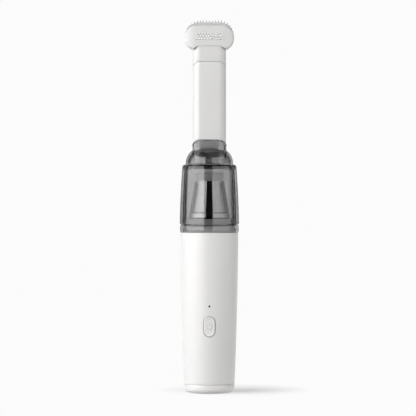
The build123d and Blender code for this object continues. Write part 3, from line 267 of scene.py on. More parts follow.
def drifting(tree, place, scale, detail, colour, drift):
    """A colour that is a little darker here and a little lighter there."""
    darker, lighter = [c * (1 - drift) for c in colour], [min(1, c * (1 + drift)) for c in colour]
    return blend(tree, noise(tree, place, scale, detail), darker, lighter)


def moulded(name, colour, roughness, drift=0.02, grain=900.0, depth=0.01, specular=0.5):
    """A moulded surface: a slow drift of tone and a fine grain that breaks the gloss."""
    material, tree, shader, place = new_material(name)
    feed(tree, shader, {
        "Base Color": drifting(tree, place, DRIFT_SCALE, 2.0, colour, drift),
        "Normal": bump(tree, noise(tree, place, grain, 3.0), GRAIN_STRENGTH, depth * MM),
        "Roughness": roughness, "Specular IOR Level": specular})
    return material


white_body = moulded("satin_white", (0.66, 0.655, 0.648), 0.32, specular=0.6)
# The tube and head are the body's plastic painted a shade darker: painted shade for the light that
# falls off up the tube.
white_tube_painted_shade = moulded("tube_white_painted_shade", (0.60, 0.596, 0.59), 0.34, specular=0.6)
white_button = moulded("button_white", (0.67, 0.67, 0.665), 0.38)
# The grip dots are painted a little lighter than the body and well lighter than the head: a painted
# highlight for the light the dots catch.
white_grip_painted_highlight = moulded("grip_white_painted_highlight", (0.68, 0.676, 0.67), 0.55, specular=0.25)
# The comb plate is the same white plastic painted far darker: painted shade for its face, which
# gets little light from above.
white_comb_painted_shade = moulded("comb_white_painted_shade", (0.46, 0.457, 0.45), 0.46)
sign_grey = moulded("sign_grey", grey(0.5), 0.35)
black_plastic = moulded("black_plastic", (0.012, 0.012, 0.013), 0.4)
grey_plastic = moulded("grey_plastic", grey(0.42), 0.45)
cap_grey = moulded("cap_grey", (0.42, 0.42, 0.425), 0.3)
rib_black = moulded("rib_black", grey(0.006), 0.12, depth=0.0, specular=0.25)
seal_black = moulded("seal_black", (0.02, 0.02, 0.021), 0.55, grain=600.0, depth=0.03)
pad_grey = moulded("pad_grey", grey(0.35), 0.7, grain=500.0, depth=0.05)
lens_black = moulded("lens_black", grey(0.006), 0.15)
print("plastics ready")

# %% [markdown]
# ## Smoky clear plastic
# The cup is a tinted clear moulding. Its plastic swallows light on the way through, and a roof or
# a lip seen edge on looks almost black. So half of the tint is an absorption in the volume, and
# only the rest is a colour of the surface.

# %% Smoky plastic
POLYCARBONATE_IOR = 1.585
smoke, tree, shader, place = new_material("smoky_clear")
feed(tree, shader, {
    "Base Color": drifting(tree, place, 30.0, 1.0, (0.83, 0.83, 0.835), 0.015),
    "Roughness": 0.02, "IOR": POLYCARBONATE_IOR, "Transmission Weight": 1.0})
tint = {"Color": (0.05, 0.05, 0.06, 1), "Density": 78.0}
absorbed = add_node(tree, "ShaderNodeVolumeAbsorption", tint)["Volume"]
feed(tree, tree.nodes["Material Output"], {"Volume": absorbed})
print("smoke ready")

# %% [markdown]
# ## Metals and the parts that stay inside
# The inner parts are seen only when the vacuum is taken apart, yet they get real finishes. The
# filter's frame shows through the cup: bare metal hoops, and black posts beside its windows.

# %% Metals and inner finishes
def metal(name, colour, roughness):
    """Metal whose gloss wanders by a fifth."""
    material, tree, shader, place = new_material(name)
    wander = noise(tree, place, 200.0, 2.0)
    gloss = spread(tree, wander, 0.0, 1.0, roughness * 0.8, roughness * 1.25)
    feed(tree, shader, {"Metallic": 1.0, "Base Color": (*colour, 1), "Roughness": gloss})
    return material


window_z, window_half = mm(194.1, 15.0)
bare_metal, paint_black = grey(0.58), grey(0.01)
steel = metal("plated_steel", (0.58, 0.58, 0.59), 0.28)
frame_metal = metal("frame_metal", bare_metal, 0.42)
tree = frame_metal.node_tree
height = split(tree, add_node(tree, "ShaderNodeTexCoord")["Object"])["Z"]
beside_window = calc(tree, "COMPARE", height, window_z, window_half)
painted = blend(tree, beside_window, bare_metal, paint_black)
feed(tree, tree.nodes["Principled BSDF"], {"Base Color": painted})
bronze = metal("bronze", (0.55, 0.36, 0.18), 0.4)
laminations = metal("laminated_iron", (0.22, 0.22, 0.23), 0.5)
fan_metal = metal("formed_aluminium", (0.78, 0.78, 0.79), 0.32)
ferrite = moulded("ferrite", (0.06, 0.06, 0.062), 0.6, grain=400.0, depth=0.05)
board_green = moulded("board_green", (0.012, 0.12, 0.04), 0.3, drift=0.08)
cell_wrap = moulded("cell_wrap", (0.03, 0.16, 0.36), 0.3)
foam_black = moulded("foam_black", grey(0.02), 0.95, drift=0.3, grain=260.0, depth=0.5)
paper_white = moulded("filter_paper", (0.78, 0.78, 0.75), 0.8, drift=0.04, grain=700.0, depth=0.08)
print("inner finishes ready")

# %% [markdown]
# ## The battery handle
# The handle is one turned barrel, narrow at the foot and widest under the cup. Its outline is the
# circle through three measured points. The wall is a closed profile spun about Z, with a small
# radius on both lips: a moulded edge is never sharp.

# %% Outline of the barrel
def circle_through(a, b, c):
    """Centre and radius of the circle through three points."""
    span = 2 * (a[0] * (b[1] - c[1]) + b[0] * (c[1] - a[1]) + c[0] * (a[1] - b[1]))
    p, q, s = [point[0] ** 2 + point[1] ** 2 for point in (a, b, c)]
    x = (p * (b[1] - c[1]) + q * (c[1] - a[1]) + s * (a[1] - b[1])) / span
    y = (p * (c[0] - b[0]) + q * (a[0] - c[0]) + s * (b[0] - a[0])) / span
    return x, y, sqrt((a[0] - x) ** 2 + (a[1] - y) ** 2)


foot_z, collar_z = mm(9.2, 160.0)
foot, middle, collar = (25.2 * MM, foot_z), (27.4 * MM, 72 * MM), (28.75 * MM, collar_z)
barrel_x, barrel_z, barrel_r = circle_through(foot, middle, collar)


def shell_r(z):
    """Outer radius of the handle at a height."""
    return barrel_x + sqrt(barrel_r ** 2 - (z - barrel_z) ** 2)


wall, lip, wall_steps = 2.2 * MM, 0.35 * MM, 60
heights = [foot_z + lip + (collar_z - foot_z - 2 * lip) * i / wall_steps
           for i in range(wall_steps + 1)]
outer = [(shell_r(z), z) for z in heights]
inner = [(shell_r(z) - wall, z) for z in reversed(heights)]
top_lip = arc((shell_r(collar_z) - lip, collar_z - lip), lip, 15, 90, 4)
foot_lip = arc((shell_r(foot_z) - lip, foot_z + lip), lip, -90, -15, 4)
shell_profile = foot_lip + outer + top_lip + [(shell_r(collar_z) - wall, collar_z)] + inner
shell_profile += [(shell_r(foot_z) - wall, foot_z)]
shell = lathe("handle_shell", shell_profile, count=192)
print("handle wall", len(shell.data.vertices), "points")

# %% [markdown]
# ## Openings in the handle
# The button, the pilot light and the charging inlet each have a hole. On the real part a pin in
# the mould leaves it; here a prism is taken out of the wall.

# %% Holes
def obround(width, height, steps=12):
    """Points of an upright obround round the origin, as (across, up)."""
    r = width / 2
    rise = height / 2 - r
    turns = [radians(180 * i / steps) for i in range(steps + 1)]
    points = [(r * cos(t), rise + r * sin(t)) for t in turns]
    return points + [(-x, -z) for x, z in points]


def ring_at(outline, y):
    return [(x, y, z) for x, z in outline]


def prism_along_y(name, outline, y_from, y_to):
    return skin(name, [ring_at(outline, y) for y in (y_from, y_to)])


def lifted(outline, centre_z):
    return [(x, z + centre_z) for x, z in outline]


button_z, light_z, port_z = mm(67.1, 87.3, 17.2)
front, back = mm((-40, -12), (12, 40))
hole_button = lifted(obround(12.1 * MM, 20.7 * MM, 24), button_z)
hole_light = lifted(obround(2.1 * MM, 2.101 * MM), light_z)
hole_port = [(z, x + port_z) for x, z in obround(4.3 * MM, 10.1 * MM)]
for outline, through in ((hole_button, front), (hole_light, front), (hole_port, back)):
    cut(shell, prism_along_y("hole", outline, *through))
print("holes cut")

# %% [markdown]
# The exhaust has nine slots side by side on the back. A slot is one small rounded prism. Geometry
# Nodes set copies of it round the axis, and one boolean takes them all out of the wall.

# %% Exhaust slots by Geometry Nodes
def repeat_piece(name, piece, place, inputs):
    """Sets a small piece on the points that place() makes, as one plain mesh object.

    inputs are the tree's inputs with their values. place(tree, given) adds the layout's nodes and
    returns its points, and their rotation and scale by the name of the input they go to.
    """
    kinds = {int: "NodeSocketInt", float: "NodeSocketFloat", bpy.types.Object: "NodeSocketObject"}
    tree = bpy.data.node_groups.new(name + "_copies", "GeometryNodeTree")
    for label, value in inputs.items():
        tree.interface.new_socket(label, in_out="INPUT", socket_type=kinds[type(value)])
    tree.interface.new_socket("Geometry", in_out="OUTPUT", socket_type="NodeSocketGeometry")
    points, turns = place(tree, add_node(tree, "NodeGroupInput"))
    source = add_node(tree, "GeometryNodeObjectInfo", {"Object": piece})["Geometry"]
    sockets = {"Points": points, "Instance": source, **turns}
    copies = add_node(tree, "GeometryNodeInstanceOnPoints", sockets)["Instances"]
    whole = add_node(tree, "GeometryNodeRealizeInstances", {"Geometry": copies})["Geometry"]
    add_node(tree, "NodeGroupOutput", {"Geometry": whole})
    carrier = add_object(name, bpy.data.meshes.new(name + "_seed"))
    modifier = carrier.modifiers.new("copies", "NODES")
    modifier.node_group = tree
    for socket in tree.interface.items_tree:
        if socket.in_out == "INPUT":
            modifier[socket.identifier] = inputs[socket.name]
    carrier.data = apply_modifier(carrier)
    bpy.data.objects.remove(piece)
    return carrier


def round_the_axis(tree, given):
    """Points on the axis, each turned a little further about Z than the one before."""
    sockets = {"Count": given["Copies"], "Offset": (0, 0, 0)}
    line = add_node(tree, "GeometryNodeMeshLine", sockets)["Mesh"]
    index = add_node(tree, "GeometryNodeInputIndex")["Index"]
    turn = calc(tree, "MULTIPLY_ADD", index, given["Angle between"], given["First angle"])
    spin = add_node(tree, "ShaderNodeCombineXYZ", {"Z": turn})["Vector"]
    return line, {"Rotation": spin}


def set_round(name, piece, count, between, first):
    """Copies of a piece round the axis."""
    layout = {"Copies": count, "Angle between": between, "First angle": first}
    return repeat_piece(name, piece, round_the_axis, layout)


vent_count, vent_pitch, vent_z = 9, radians(9.5), 110 * MM
vent_outline = lifted(obround(2.0 * MM, 19.0 * MM, 8), vent_z)
vent = prism_along_y("vent", vent_outline, 18 * MM, 36 * MM)
cut(shell, set_round("vents", vent, vent_count, vent_pitch, -vent_pitch * (vent_count - 1) / 2))
dress(shell, white_body, "handle", "body_shell")

# %% [markdown]
# ## The foot
# The end cap closes the barrel with a five millimetre radius. Its rubber pad sits in a shallow
# recess and stands a little proud. The thin gap between cap and barrel is a real joint.

# %% End cap and foot pad
cap_low, cap_top, cap_floor, plug_top = mm(0.4, 9.05, 3.6, 12.9)
cap_r, cap_edge, cap_lip = shell_r(foot_z), 5.0 * MM, 0.25 * MM
plug_r, plug_wall = cap_r - wall - 0.1 * MM, 1.6 * MM
recess_r, recess_top = mm(17.1, 1.4)
cap_profile = [(0, recess_top), (recess_r, recess_top), (recess_r, cap_low + 0.2 * MM),
               (recess_r + 0.2 * MM, cap_low)]
cap_profile += arc((cap_r - cap_edge, cap_low + cap_edge), cap_edge, -90, 0, 16)
cap_profile += arc((cap_r - cap_lip, cap_top - cap_lip), cap_lip, 0, 90, 3)
cap_profile += [(plug_r, cap_top), (plug_r, plug_top), (plug_r - plug_wall, plug_top)]
cap_profile += [(plug_r - plug_wall, cap_floor), (0, cap_floor)]
foot_cap = lathe("foot_cap", cap_profile, count=192)
dress(foot_cap, white_body, "handle", "end_cap")

pad_r, pad_edge = mm(17, 0.2)
pad_profile = [(0, 0)] + arc((pad_r - pad_edge, pad_edge), pad_edge, -90, 0, 3)
pad_profile += [(pad_r, recess_top), (0, recess_top)]
rubber_foot = lathe("rubber_foot", pad_profile, count=128)
dress(rubber_foot, pad_grey, "handle", "foot_pad")

# %% [markdown]
# ## The power button
# The button is an upright obround whose face follows the barrel. Its outline is drawn again and
# again, a little smaller each time, and each copy lies on the barrel at its own depth: side wall,
# rounded edge, raised rim, bevel, sunk face. A flange inside keeps it in.

# %% Button
def on_barrel(outline, centre_z, proud):
    """Lays an upright outline on the front of the barrel, proud of it or below it."""
    return [(x, -sqrt((shell_r(centre_z + up) + proud) ** 2 - x * x), centre_z + up)
            for x, up in outline]


def barrel_patch(name, width, height, centre_z, levels, back):
    """A solid with a shaped face: levels are (inset, proud), and back is its depth."""
    levels = [(inset, -back) for inset in (width / 2 - 0.05 * MM, width / 4, 0)] + levels
    shapes = [(obround(width - 2 * inset, height - 2 * inset, 24), proud)
              for inset, proud in levels]
    return skin(name, [on_barrel(shape, centre_z, proud) for shape, proud in shapes])


key_w, key_h, key_back = mm(11.2, 19.8, 3.9)
key_levels = mm((0, -0.35), (0.08, -0.14), (0.3, 0.0), (1.3, 0.0), (1.75, -0.07), (2.0, -0.22),
                (2.15, -0.27), *[(inset, -0.28) for inset in (2.4, 3.2, 4.2, 5.2, 5.7)])
power_key = barrel_patch("power_key", key_w, key_h, button_z, key_levels, key_back)
flange_levels = mm(*[(inset, -2.6) for inset in (0, 2, 4, 7.2)])
flange = barrel_patch("flange", 14.6 * MM, 23.2 * MM, button_z, flange_levels, key_back)
stem_outline = lifted(obround(4.0 * MM, 4.001 * MM), button_z)
join(power_key, flange, prism_along_y("stem", stem_outline, -23.5 * MM, -20.8 * MM))
dress(power_key, white_button, "button", "power_button")

# %% [markdown]
# The on-off sign is a broken ring with a bar: a flattened cord laid on the sunk face, where it
# catches a faint line of light. The pilot light above it is a small dark lens, sunk a little in
# its hole.

# %% On-off sign and pilot light
sign_r, sign_up, cord_r, cord_sunk = mm(2.75, 0.2, 0.3, 0.27)
cord_flat = 0.3


def cord_on_face(name, path):
    """A thin flattened cord along points given as (across, up) on the button's face."""
    rings = []
    for i, (x, up) in enumerate(path):
        before, after = path[max(i - 1, 0)], path[min(i + 1, len(path) - 1)]
        dx, dz = after[0] - before[0], after[1] - before[1]
        size = sqrt(dx * dx + dz * dz)
        side_x, side_z = -dz / size * cord_r, dx / size * cord_r
        z = button_z + up
        y = -sqrt((shell_r(z) - cord_sunk) ** 2 - x * x)
        rings.append([(x + side_x * cos(t), y - cord_r * cord_flat * sin(t), z + side_z * cos(t))
                      for t in full_turn(8)])
    return skin(name, rings)


sign_turns = [radians(degree) for degree in range(34, 327, 6)]
sign_arc = [(sign_r * sin(t), sign_up + sign_r * cos(t)) for t in sign_turns]
sign_bar = [(0, sign_up + sign_r * (0.3 + 0.95 * i / 6)) for i in range(7)]
power_sign = cord_on_face("power_sign", sign_arc)
join(power_sign, cord_on_face("sign_bar", sign_bar))
dress(power_sign, sign_grey, "button")

lens_levels = ((0.98, -16.7), (0.98, -27.4), (0.85, -27.48), (0.5, -27.52), (0.1, -27.53))
pilot_lens = skin("pilot_lens", [
    ring_at(lifted(obround(2 * r * MM, 2 * r * MM + 0.001 * MM), light_z), y * MM)
    for r, y in lens_levels])
dress(pilot_lens, lens_black, "handle", "led_light_pipe")

# %% [markdown]
# ## The dust cup
# The cup is one clear moulding: a ring at the foot, a barrel that tapers up to a shoulder, a dome,
# and a rounded rectangular socket. Two walls of it bend the light, so its inside must be a true
# surface, and the solid is made as a mould maker would: outer form, then core taken out.

# %% Cup profile
def arc_through(a, b, c, steps):
    """Points on the arc through three points that bulges outwards."""
    x, y, r = circle_through(a, b, c)
    first, last = atan2(a[1] - y, a[0] - x), atan2(c[1] - y, c[0] - x)
    turns = [first + (last - first) * i / steps for i in range(steps + 1)]
    return [(x + r * cos(t), y + r * sin(t)) for t in turns]


def softened(points, size):
    """Rounds the corners of an open profile by a small radius."""
    result, steps = [points[0]], 3
    for before, here, after in zip(points, points[1:], points[2:]):
        a, b, c = (Vector((*p, 0)) for p in (before, here, after))
        reach = min(size, (a - b).length * 0.45, (c - b).length * 0.45)
        start, end = b + (a - b).normalized() * reach, b + (c - b).normalized() * reach
        for i in range(steps + 1):
            t = i / steps
            p = start * (1 - t) ** 2 + b * 2 * t * (1 - t) + end * t ** 2
            result.append((p.x, p.y))
    return result + [points[-1]]


seam = 0.3 * MM
cup_z = collar_z + seam
cup_ring = [(29.3 * MM, cup_z)] + mm((29.3, 166.5), (28.7, 166.6), (28.7, 167.8))
wall_low, wall_mid, wall_high = mm((29.6, 168.5), (28.8, 196.4), (27.1, 225))
shoulder_z, shoulder_edge, crook = mm(228, 3, 0.4)
dome_r, dome_rise, dome_curve, dome_wall = mm(23.6, 229.5, 15, 2.5)
dome_middle, dome_top = dome_r - dome_curve, dome_rise + dome_curve
outer_cup = softened([(0, cup_z)] + cup_ring + [wall_low], 0.25 * MM)[:-1]
outer_cup += arc_through(wall_low, wall_mid, wall_high, 24)
outer_cup += arc((wall_high[0] - shoulder_edge, wall_high[1]), shoulder_edge, 8, 90)
outer_cup += arc((dome_r + crook, shoulder_z + crook), crook, 270, 180, 4)
outer_cup += arc((dome_middle, dome_rise), dome_curve, 0, 90, 24) + [(0, dome_top)]
cup = lathe("cup_moulding", outer_cup, count=224)
print("cup outside", len(outer_cup), "profile points")

# %% [markdown]
# The socket is a stack of rounded rectangles. Its rim, with a small bead round it, stays level in
# the middle and falls by almost five millimetres to the sides.

# %% Socket
socket_w, socket_d, socket_corner, socket_wall = mm(33.7, 24.1, 8.4, 1.65)
rim_z, rim_flat, rim_drop = mm(252.4, 9.0, 5.0)
bead = mm((0, -1.35), (0.12, -1.12), (0.33, -0.98), (0.45, -0.75), (0.45, -0.35), (0.33, -0.12),
          (0.12, 0), (-0.4, 0))
rim_reach = socket_w / 2 + 0.45 * MM


def fall(x, drop):
    """How far an edge lies below its middle at a distance across, when its ends lie drop lower."""
    if drop == 0:
        return 0.0
    bend = ((rim_reach - rim_flat) ** 2 + drop ** 2) / (2 * drop)
    past = max(0.0, min(abs(x), rim_reach) - rim_flat)
    return bend - sqrt(bend ** 2 - past ** 2)


def rect_ring(width, depth, corner, z, drop, steps=10):
    """A rounded rectangle at a height, whose sides hang lower by drop."""
    ring = []
    for sx, sy, start in ((1, 1, 0), (-1, 1, 90), (-1, -1, 180), (1, -1, 270)):
        centre = (sx * (width / 2 - corner), sy * (depth / 2 - corner))
        points = arc(centre, corner, start, start + 90, steps)
        ring += [(x, y, z - fall(x, drop)) for x, y in points]
    return ring


def socket_ring(grow, z, drop=0.0):
    return rect_ring(socket_w + 2 * grow, socket_d + 2 * grow, socket_corner + grow, z, drop)


socket_rings = [socket_ring(0, dome_rise), socket_ring(0, 240 * MM)]
socket_rings += [socket_ring(grow, rim_z + down, rim_drop) for grow, down in bead]
fuse(cup, skin("socket", socket_rings))
print("socket joined", len(cup.data.polygons))

# %% [markdown]
# In the mould a core makes the inside. Under the dome's roof a duct leads on from the socket, so
# the bore through both is the tube's own oblong.

# %% Core, duct and bore
bore_r, bore_top, high_r, ceiling, corner_r = mm(26.1, 168.2, 24.4, 226.6, 4.5)
dome_in, below = dome_r - dome_wall, cup_z - 2 * MM
corner_end = degrees(acos((dome_in - high_r + corner_r) / corner_r))
core_profile = [(0, below), (bore_r, below), (bore_r, bore_top)]
core_profile += arc((high_r - corner_r, ceiling - corner_r), corner_r, 0, corner_end)
core_profile += [(dome_in, dome_rise)]
core_profile += arc((dome_middle, dome_rise), dome_curve - dome_wall, 4, 90, 24)
core_profile += [(0, dome_top - dome_wall)]
cut(cup, lathe("core", core_profile, count=224))
duct_floor, duct_top = 229 * MM, dome_top - dome_wall / 2
fuse(cup, skin("duct", [socket_ring(0, z) for z in (duct_floor, duct_top)]))
cut(cup, skin("bore", [socket_ring(-socket_wall, z) for z in (227 * MM, 254 * MM)]))
print("cup moulding", len(cup.data.polygons), "faces")

# %% [markdown]
# Behind the duct two small lugs carry the pin of the dust flap. They belong to the same moulding,
# so they are joined on and drilled here.

# %% Lugs
def prism_along_x(name, outline, x_from, x_to):
    return skin(name, [[(x, y, z) for y, z in outline] for x in (x_from, x_to)])


pin, pin_hole_r, lug_r, lug_root, lug_in, lug_out = mm((13.75, 228.3), 0.86, 1.9, 232.8, 6.8, 9.2)
lug_outline = arc(pin, lug_r, 180, 360, 12)
lug_outline += [(pin[0] + lug_r, lug_root), (pin[0] - lug_r, lug_root)]
for side in (-1, 1):
    x_from, x_to = side * lug_in, side * lug_out
    fuse(cup, prism_along_x("lug", lug_outline, x_from, x_to))
    hole = arc(pin, pin_hole_r, 0, 345, 23)
    cut(cup, prism_along_x("pin_hole", hole, x_from - side * MM, x_to + side * MM))
dress(cup, smoke, "cup", "dust_cup")

# %% [markdown]
# ## The white neck under the cup
# The top of the handle carries a short white neck. The cup slides over it, and a grille of eight
# bars keeps fingers away from the fan. The turned wall is spun here; the bars are one small bar
# set round the axis.

# %% Intake neck
neck_r, neck_bore_r, neck_top = mm(25.7, 23.5, 166.0)
floor_z, floor_top, eye_r = mm(149.0, 151.0, 11.1)
skirt_r = shell_r(floor_z) - wall - 0.1 * MM
neck_profile = [(eye_r, floor_z), (skirt_r, floor_z), (skirt_r, collar_z), (neck_r, collar_z)]
neck_profile += [(neck_r, neck_top), (neck_bore_r, neck_top), (neck_bore_r, floor_top)]
neck_profile += [(eye_r, floor_top), (eye_r, floor_z)]
intake_neck = lathe("intake_neck", softened(neck_profile, 0.3 * MM), count=192)

bar_count, bar_low, bar_w, hub_r, hoop_r = 8, 155.0 * MM, 1.6 * MM, 4 * MM, 13 * MM
bar_section = [(bar_w * x, bar_low + bar_w * z) for x, z in
               ((-0.5, 0.2), (-0.3, 0), (0.3, 0), (0.5, 0.2), (0.5, 0.8), (0.3, 1), (-0.3, 1),
                (-0.5, 0.8))]
bar = prism_along_y("bar", bar_section, 0, neck_bore_r + 0.6 * MM)
bars = set_round("bars", bar, bar_count, 2 * pi / bar_count, 0.0)
hub_profile = [(0, bar_low), (hub_r, bar_low), (hub_r, bar_low + bar_w), (0, bar_low + bar_w)]
hub = lathe("hub", hub_profile, count=48)
hoop = lathe("hoop", [(hoop_r - (x + bar_w / 2), z) for x, z in bar_section], count=96)
join(intake_neck, bars, hub, hoop)
dress(intake_neck, white_body, "handle", "intake_collar")

# %% [markdown]
# ## The filter
# Inside the cup stands a cone: a grey base with a black rubber seal under it, a fine screen behind
# five black ribs, and a cap. Its forms are round, so most of it is turned. The frame and the ribs
# are the model's own.

# %% Filter base, seal and cap
def turned(name, profile, size, material, node):
    """A turned piece of the filter, with its edges softened where they don't lie on the axis."""
    closed = profile if profile[0][0] == 0 else profile + [profile[0]]
    dress(lathe(name, softened(closed, size)), material, "filter", node)


base_profile = mm((21.7, 166.3), (23.2, 166.3), (23.2, 168.0), (24.9, 168.0), (24.9, 173.6),
                  (20.5, 173.6), (20.5, 169.5), (18.1, 169.5), (18.1, 168.0), (21.7, 168.0))
seal_profile = mm((23.25, 166.35), (25.3, 166.35), (25.8, 166.9), (25.8, 167.4), (25.3, 167.95),
                  (23.25, 167.95))
turned("filter_foot", base_profile, 0.4 * MM, grey_plastic, "filter_base")
turned("seal_lip", seal_profile, 0.2 * MM, seal_black, "filter_seal")
head_z, lid_r, lid_edge, lid_top = mm(211.2, 14.35, 1.6, 219.5)
lid_profile = [(0, head_z), (lid_r, head_z)]
lid_profile += arc((lid_r - lid_edge, lid_top - lid_edge), lid_edge, 0, 90, 8)
lid_profile += [(3 * MM, lid_top), (2.5 * MM, lid_top - 0.2 * MM), (0, lid_top - 0.2 * MM)]
turned("filter_lid", lid_profile, 0.1 * MM, cap_grey, "filter_cap")

# %% [markdown]
# The screen is woven wire, far finer than a pixel, so its weave is in the material: two crossed
# waves on Object coordinates raise the wires, and the gaps between them are painted dark, a painted
# shade for the dim inside seen through the openings. The row of small studs round its foot is real
# geometry, one stud set round the cone.

# %% Screen
frame_low, base_top, foot_r, head_r, mean_cone_r = mm(169.5, 173.6, 20.4, 13.9, 17.0)


def cone_r(z):
    """Outer radius of the filter's frame at a height."""
    return foot_r + (head_r - foot_r) * (max(z, base_top) - base_top) / (head_z - base_top)


screen_in, screen_thick, wire_pitch = mm(1.35, 0.4, 0.8)
screen_wall = [(cone_r(z) - screen_in, z) for z in (frame_low, base_top, head_z - 0.1 * MM)]
wire_screen = lathe("wire_screen",
                    screen_wall + [(r - screen_thick, z) for r, z in reversed(screen_wall)])
screen, tree, shader, place = new_material("woven_screen")
axes = split(tree, place)
around = calc(tree, "ARCTAN2", axes["Y"], axes["X"])
waves = [calc(tree, "SINE", calc(tree, "MULTIPLY", source, rate * 2 * pi))
         for source, rate in ((around, mean_cone_r / wire_pitch), (axes["Z"], 1.0 / wire_pitch))]
weave, speck = calc(tree, "MULTIPLY", *waves), noise(tree, place, 900.0, 2.0)
# The weave's low places, the gaps, are painted dark: painted shade for the openings. The speck
# noise is random tone.
level = calc(tree, "MULTIPLY_ADD", weave, 0.25, speck)
feed(tree, shader, {
    "Base Color": blend(tree, level, grey(0.24), grey(0.84)),
    "Normal": bump(tree, level, 0.6, 0.08 * MM), "Roughness": 0.4, "Metallic": 0.8})
dress(wire_screen, screen, "filter", "filter_mesh")

stud_count, (stud_z, stud_r) = 60, mm(179.6, 0.6)
stud_levels = [(cone_r(stud_z) + out * MM, stud_r * share)
               for out, share in ((-0.5, 1), (0.1, 1), (0.22, 0.8), (0.3, 0.3))]
stud_rings = [[(x, r * cos(t), stud_z + r * sin(t)) for t in full_turn(12)]
              for x, r in stud_levels]
studs = set_round("window_dots", skin("stud", stud_rings), stud_count, 2 * pi / stud_count, 0.05)
finish_mesh(studs.data)
dress(studs, frame_metal, "filter")

# %% [markdown]
# ## The nozzle tube
# The tube is a rounded rectangle with a thin wall. Its low end follows the fall of the socket's
# rim, and its top end has a fall of its own. It is one loop of rings: outer wall, edge, bore,
# spigot.

# %% Tube
tube_w, tube_d, tube_corner, seam_drop = mm(33.04, 23.44, 8.07, 5.4)


def tube_rings(drop, *levels):
    """Rings of the tube's section for levels of (inset, height) in millimetres."""
    return [rect_ring(tube_w - 2 * inset, tube_d - 2 * inset, tube_corner - inset, z, drop, 12)
            for inset, z in mm(*levels)]


low_end = ((1.62, 252.5), (0.5, 252.5), (0.22, 252.6), (0.06, 252.9), (0, 253.5))
top_end = ((0, 329.6), (0.1, 329.9), (0.35, 330.0), (1.6, 330.0), (1.8, 329.7))
inner_walls = ((1.8, 318), (1.8, 317.7), (3.12, 317.7), (3.12, 234.7), (2.8, 234.4), (1.9, 234.4),
               (1.62, 234.7), (1.62, 245))
nozzle_rings = tube_rings(rim_drop, *low_end) + tube_rings(0.0, (0, 262), (0, 320))
nozzle_rings += tube_rings(seam_drop, *top_end) + tube_rings(0.0, *inner_walls)
nozzle = skin("nozzle", nozzle_rings, loop=True)
dress(nozzle, white_tube_painted_shade, "tube", "nozzle_tube")

# %% [markdown]
# ## The brush head
# The head is a lying stadium whose flat front bends back at both ends. Every ring is a stadium,
# and each of its points takes the bend of its own place across.

# %% Head outside
pod_w, pod_h, pod_z = mm(49.3, 24.1, 354.1)
pod_front, pod_back, pod_wall, pod_edge = mm(-12.07, 6.5, 2.0, 1.7)
flat_half, crown = (pod_w - pod_h) / 2, 2.4 * MM
crown_r = (pod_h ** 2 / 4 + crown ** 2) / (2 * crown)


def stadium(inset=0.0, width=pod_w, height=pod_h, centre_z=pod_z, steps=20):
    """Points of a lying stadium, as (x, z)."""
    upright = obround(height - 2 * inset, width - 2 * inset, steps)
    return [(up, centre_z - across) for across, up in upright]


def pod_ring(inset, back_by):
    """A ring of the front, bent back at both ends."""
    ring = []
    for x, z in stadium(inset):
        past = max(0.0, min(abs(x), pod_w / 2) - flat_half)
        ring.append((x, pod_front + back_by + crown_r - sqrt(crown_r ** 2 - past ** 2), z))
    return ring


def edge_turns(steps):
    """Inset and setback, as shares of the radius, round a quarter of an edge."""
    turns = [pi / 2 * i / steps for i in range(steps + 1)]
    return [(1 - cos(turn), 1 - sin(turn)) for turn in turns]


pod_rings = [ring_at(stadium(12 * MM), pod_back), ring_at(stadium(), pod_back)]
pod_rings += [pod_ring(pod_edge * inset, pod_edge * back) for inset, back in edge_turns(10)]
pod_rings += [pod_ring(inset * MM, 0) for inset in (3.5, 6.5, 9.5, 12)]
head = skin("head_shell", pod_rings)
print("head outside", len(head.data.polygons), "faces")

# %% [markdown]
# The neck is the tube's section again, and the head hangs over it with a thin lip that falls at
# the sides. So room for the neck is taken out first, the neck is joined on, and a fine crease is
# cut along the lip, where the photograph shows a dark line. Last comes the inside.

# %% Neck and inside
lip_z, lip_drop, lip_half, lip_steps = 345.9 * MM, 5.0 * MM, tube_w / 2 - 0.05 * MM, 24
room_low, front_y = 330 * MM, -tube_d / 2
crease_up, crease_down, crease_deep = mm(0.05, 0.42, 0.4)
plate_h, plate_z = mm(28.75, 356.425)
lip_across = [lip_half * i / lip_steps for i in range(-lip_steps, lip_steps + 1)]
lip_line = [(x, lip_z - fall(x, lip_drop)) for x in lip_across]
neck_room = lip_line + [(lip_half, room_low), (-lip_half, room_low)]
cut(head, prism_along_y("neck_room", neck_room, front_y - MM, tube_d / 2 + MM))
neck_edge = ((0.4, 330.3), (0.12, 330.45), (0, 330.85))
neck = tube_rings(seam_drop, *neck_edge) + tube_rings(0.0, (0, 338), (0, 352))
fuse(head, skin("neck", neck))
crease = lifted(lip_line, crease_up) + lifted(reversed(lip_line), -crease_down)
cut(head, prism_along_y("crease", crease, front_y - MM, front_y + crease_deep))
fuse(head, skin("spigot", tube_rings(0.0, (2.3, 318), (2.1, 318.3), (2.1, 334))))
plate_seat = stadium(0.0, pod_w + MM, plate_h + 0.1 * MM, plate_z)
for outline, y_from, y_to in ((stadium(pod_wall), -7.45 * MM, 9 * MM),
                              (plate_seat, pod_back, 14 * MM)):
    cut(head, prism_along_y("space", outline, y_from, y_to))
cut(head, skin("neck_bore", tube_rings(0.0, (3.6, 316), (3.6, 354))))
dress(head, white_tube_painted_shade, "head", "brush_head")

# %% [markdown]
# ## The comb plate
# The plate closes the head round its mouth and is a little taller than it, so its upper edge shows
# over the head. It is a loop of stadiums: mouth, back, rounded outer edge and front.

# %% Comb plate
plate_back, plate_edge, plate_foot = mm(11.72, 0.8, 0.2)
mouth_w, mouth_h, mouth_edge = mm(38, 15, 1.0)


def plate_ring(inset, y):
    return ring_at(stadium(inset, pod_w, plate_h, plate_z, 24), y)


def mouth_ring(grow, y):
    return ring_at(stadium(-grow, mouth_w, mouth_h, plate_z, 24), y)


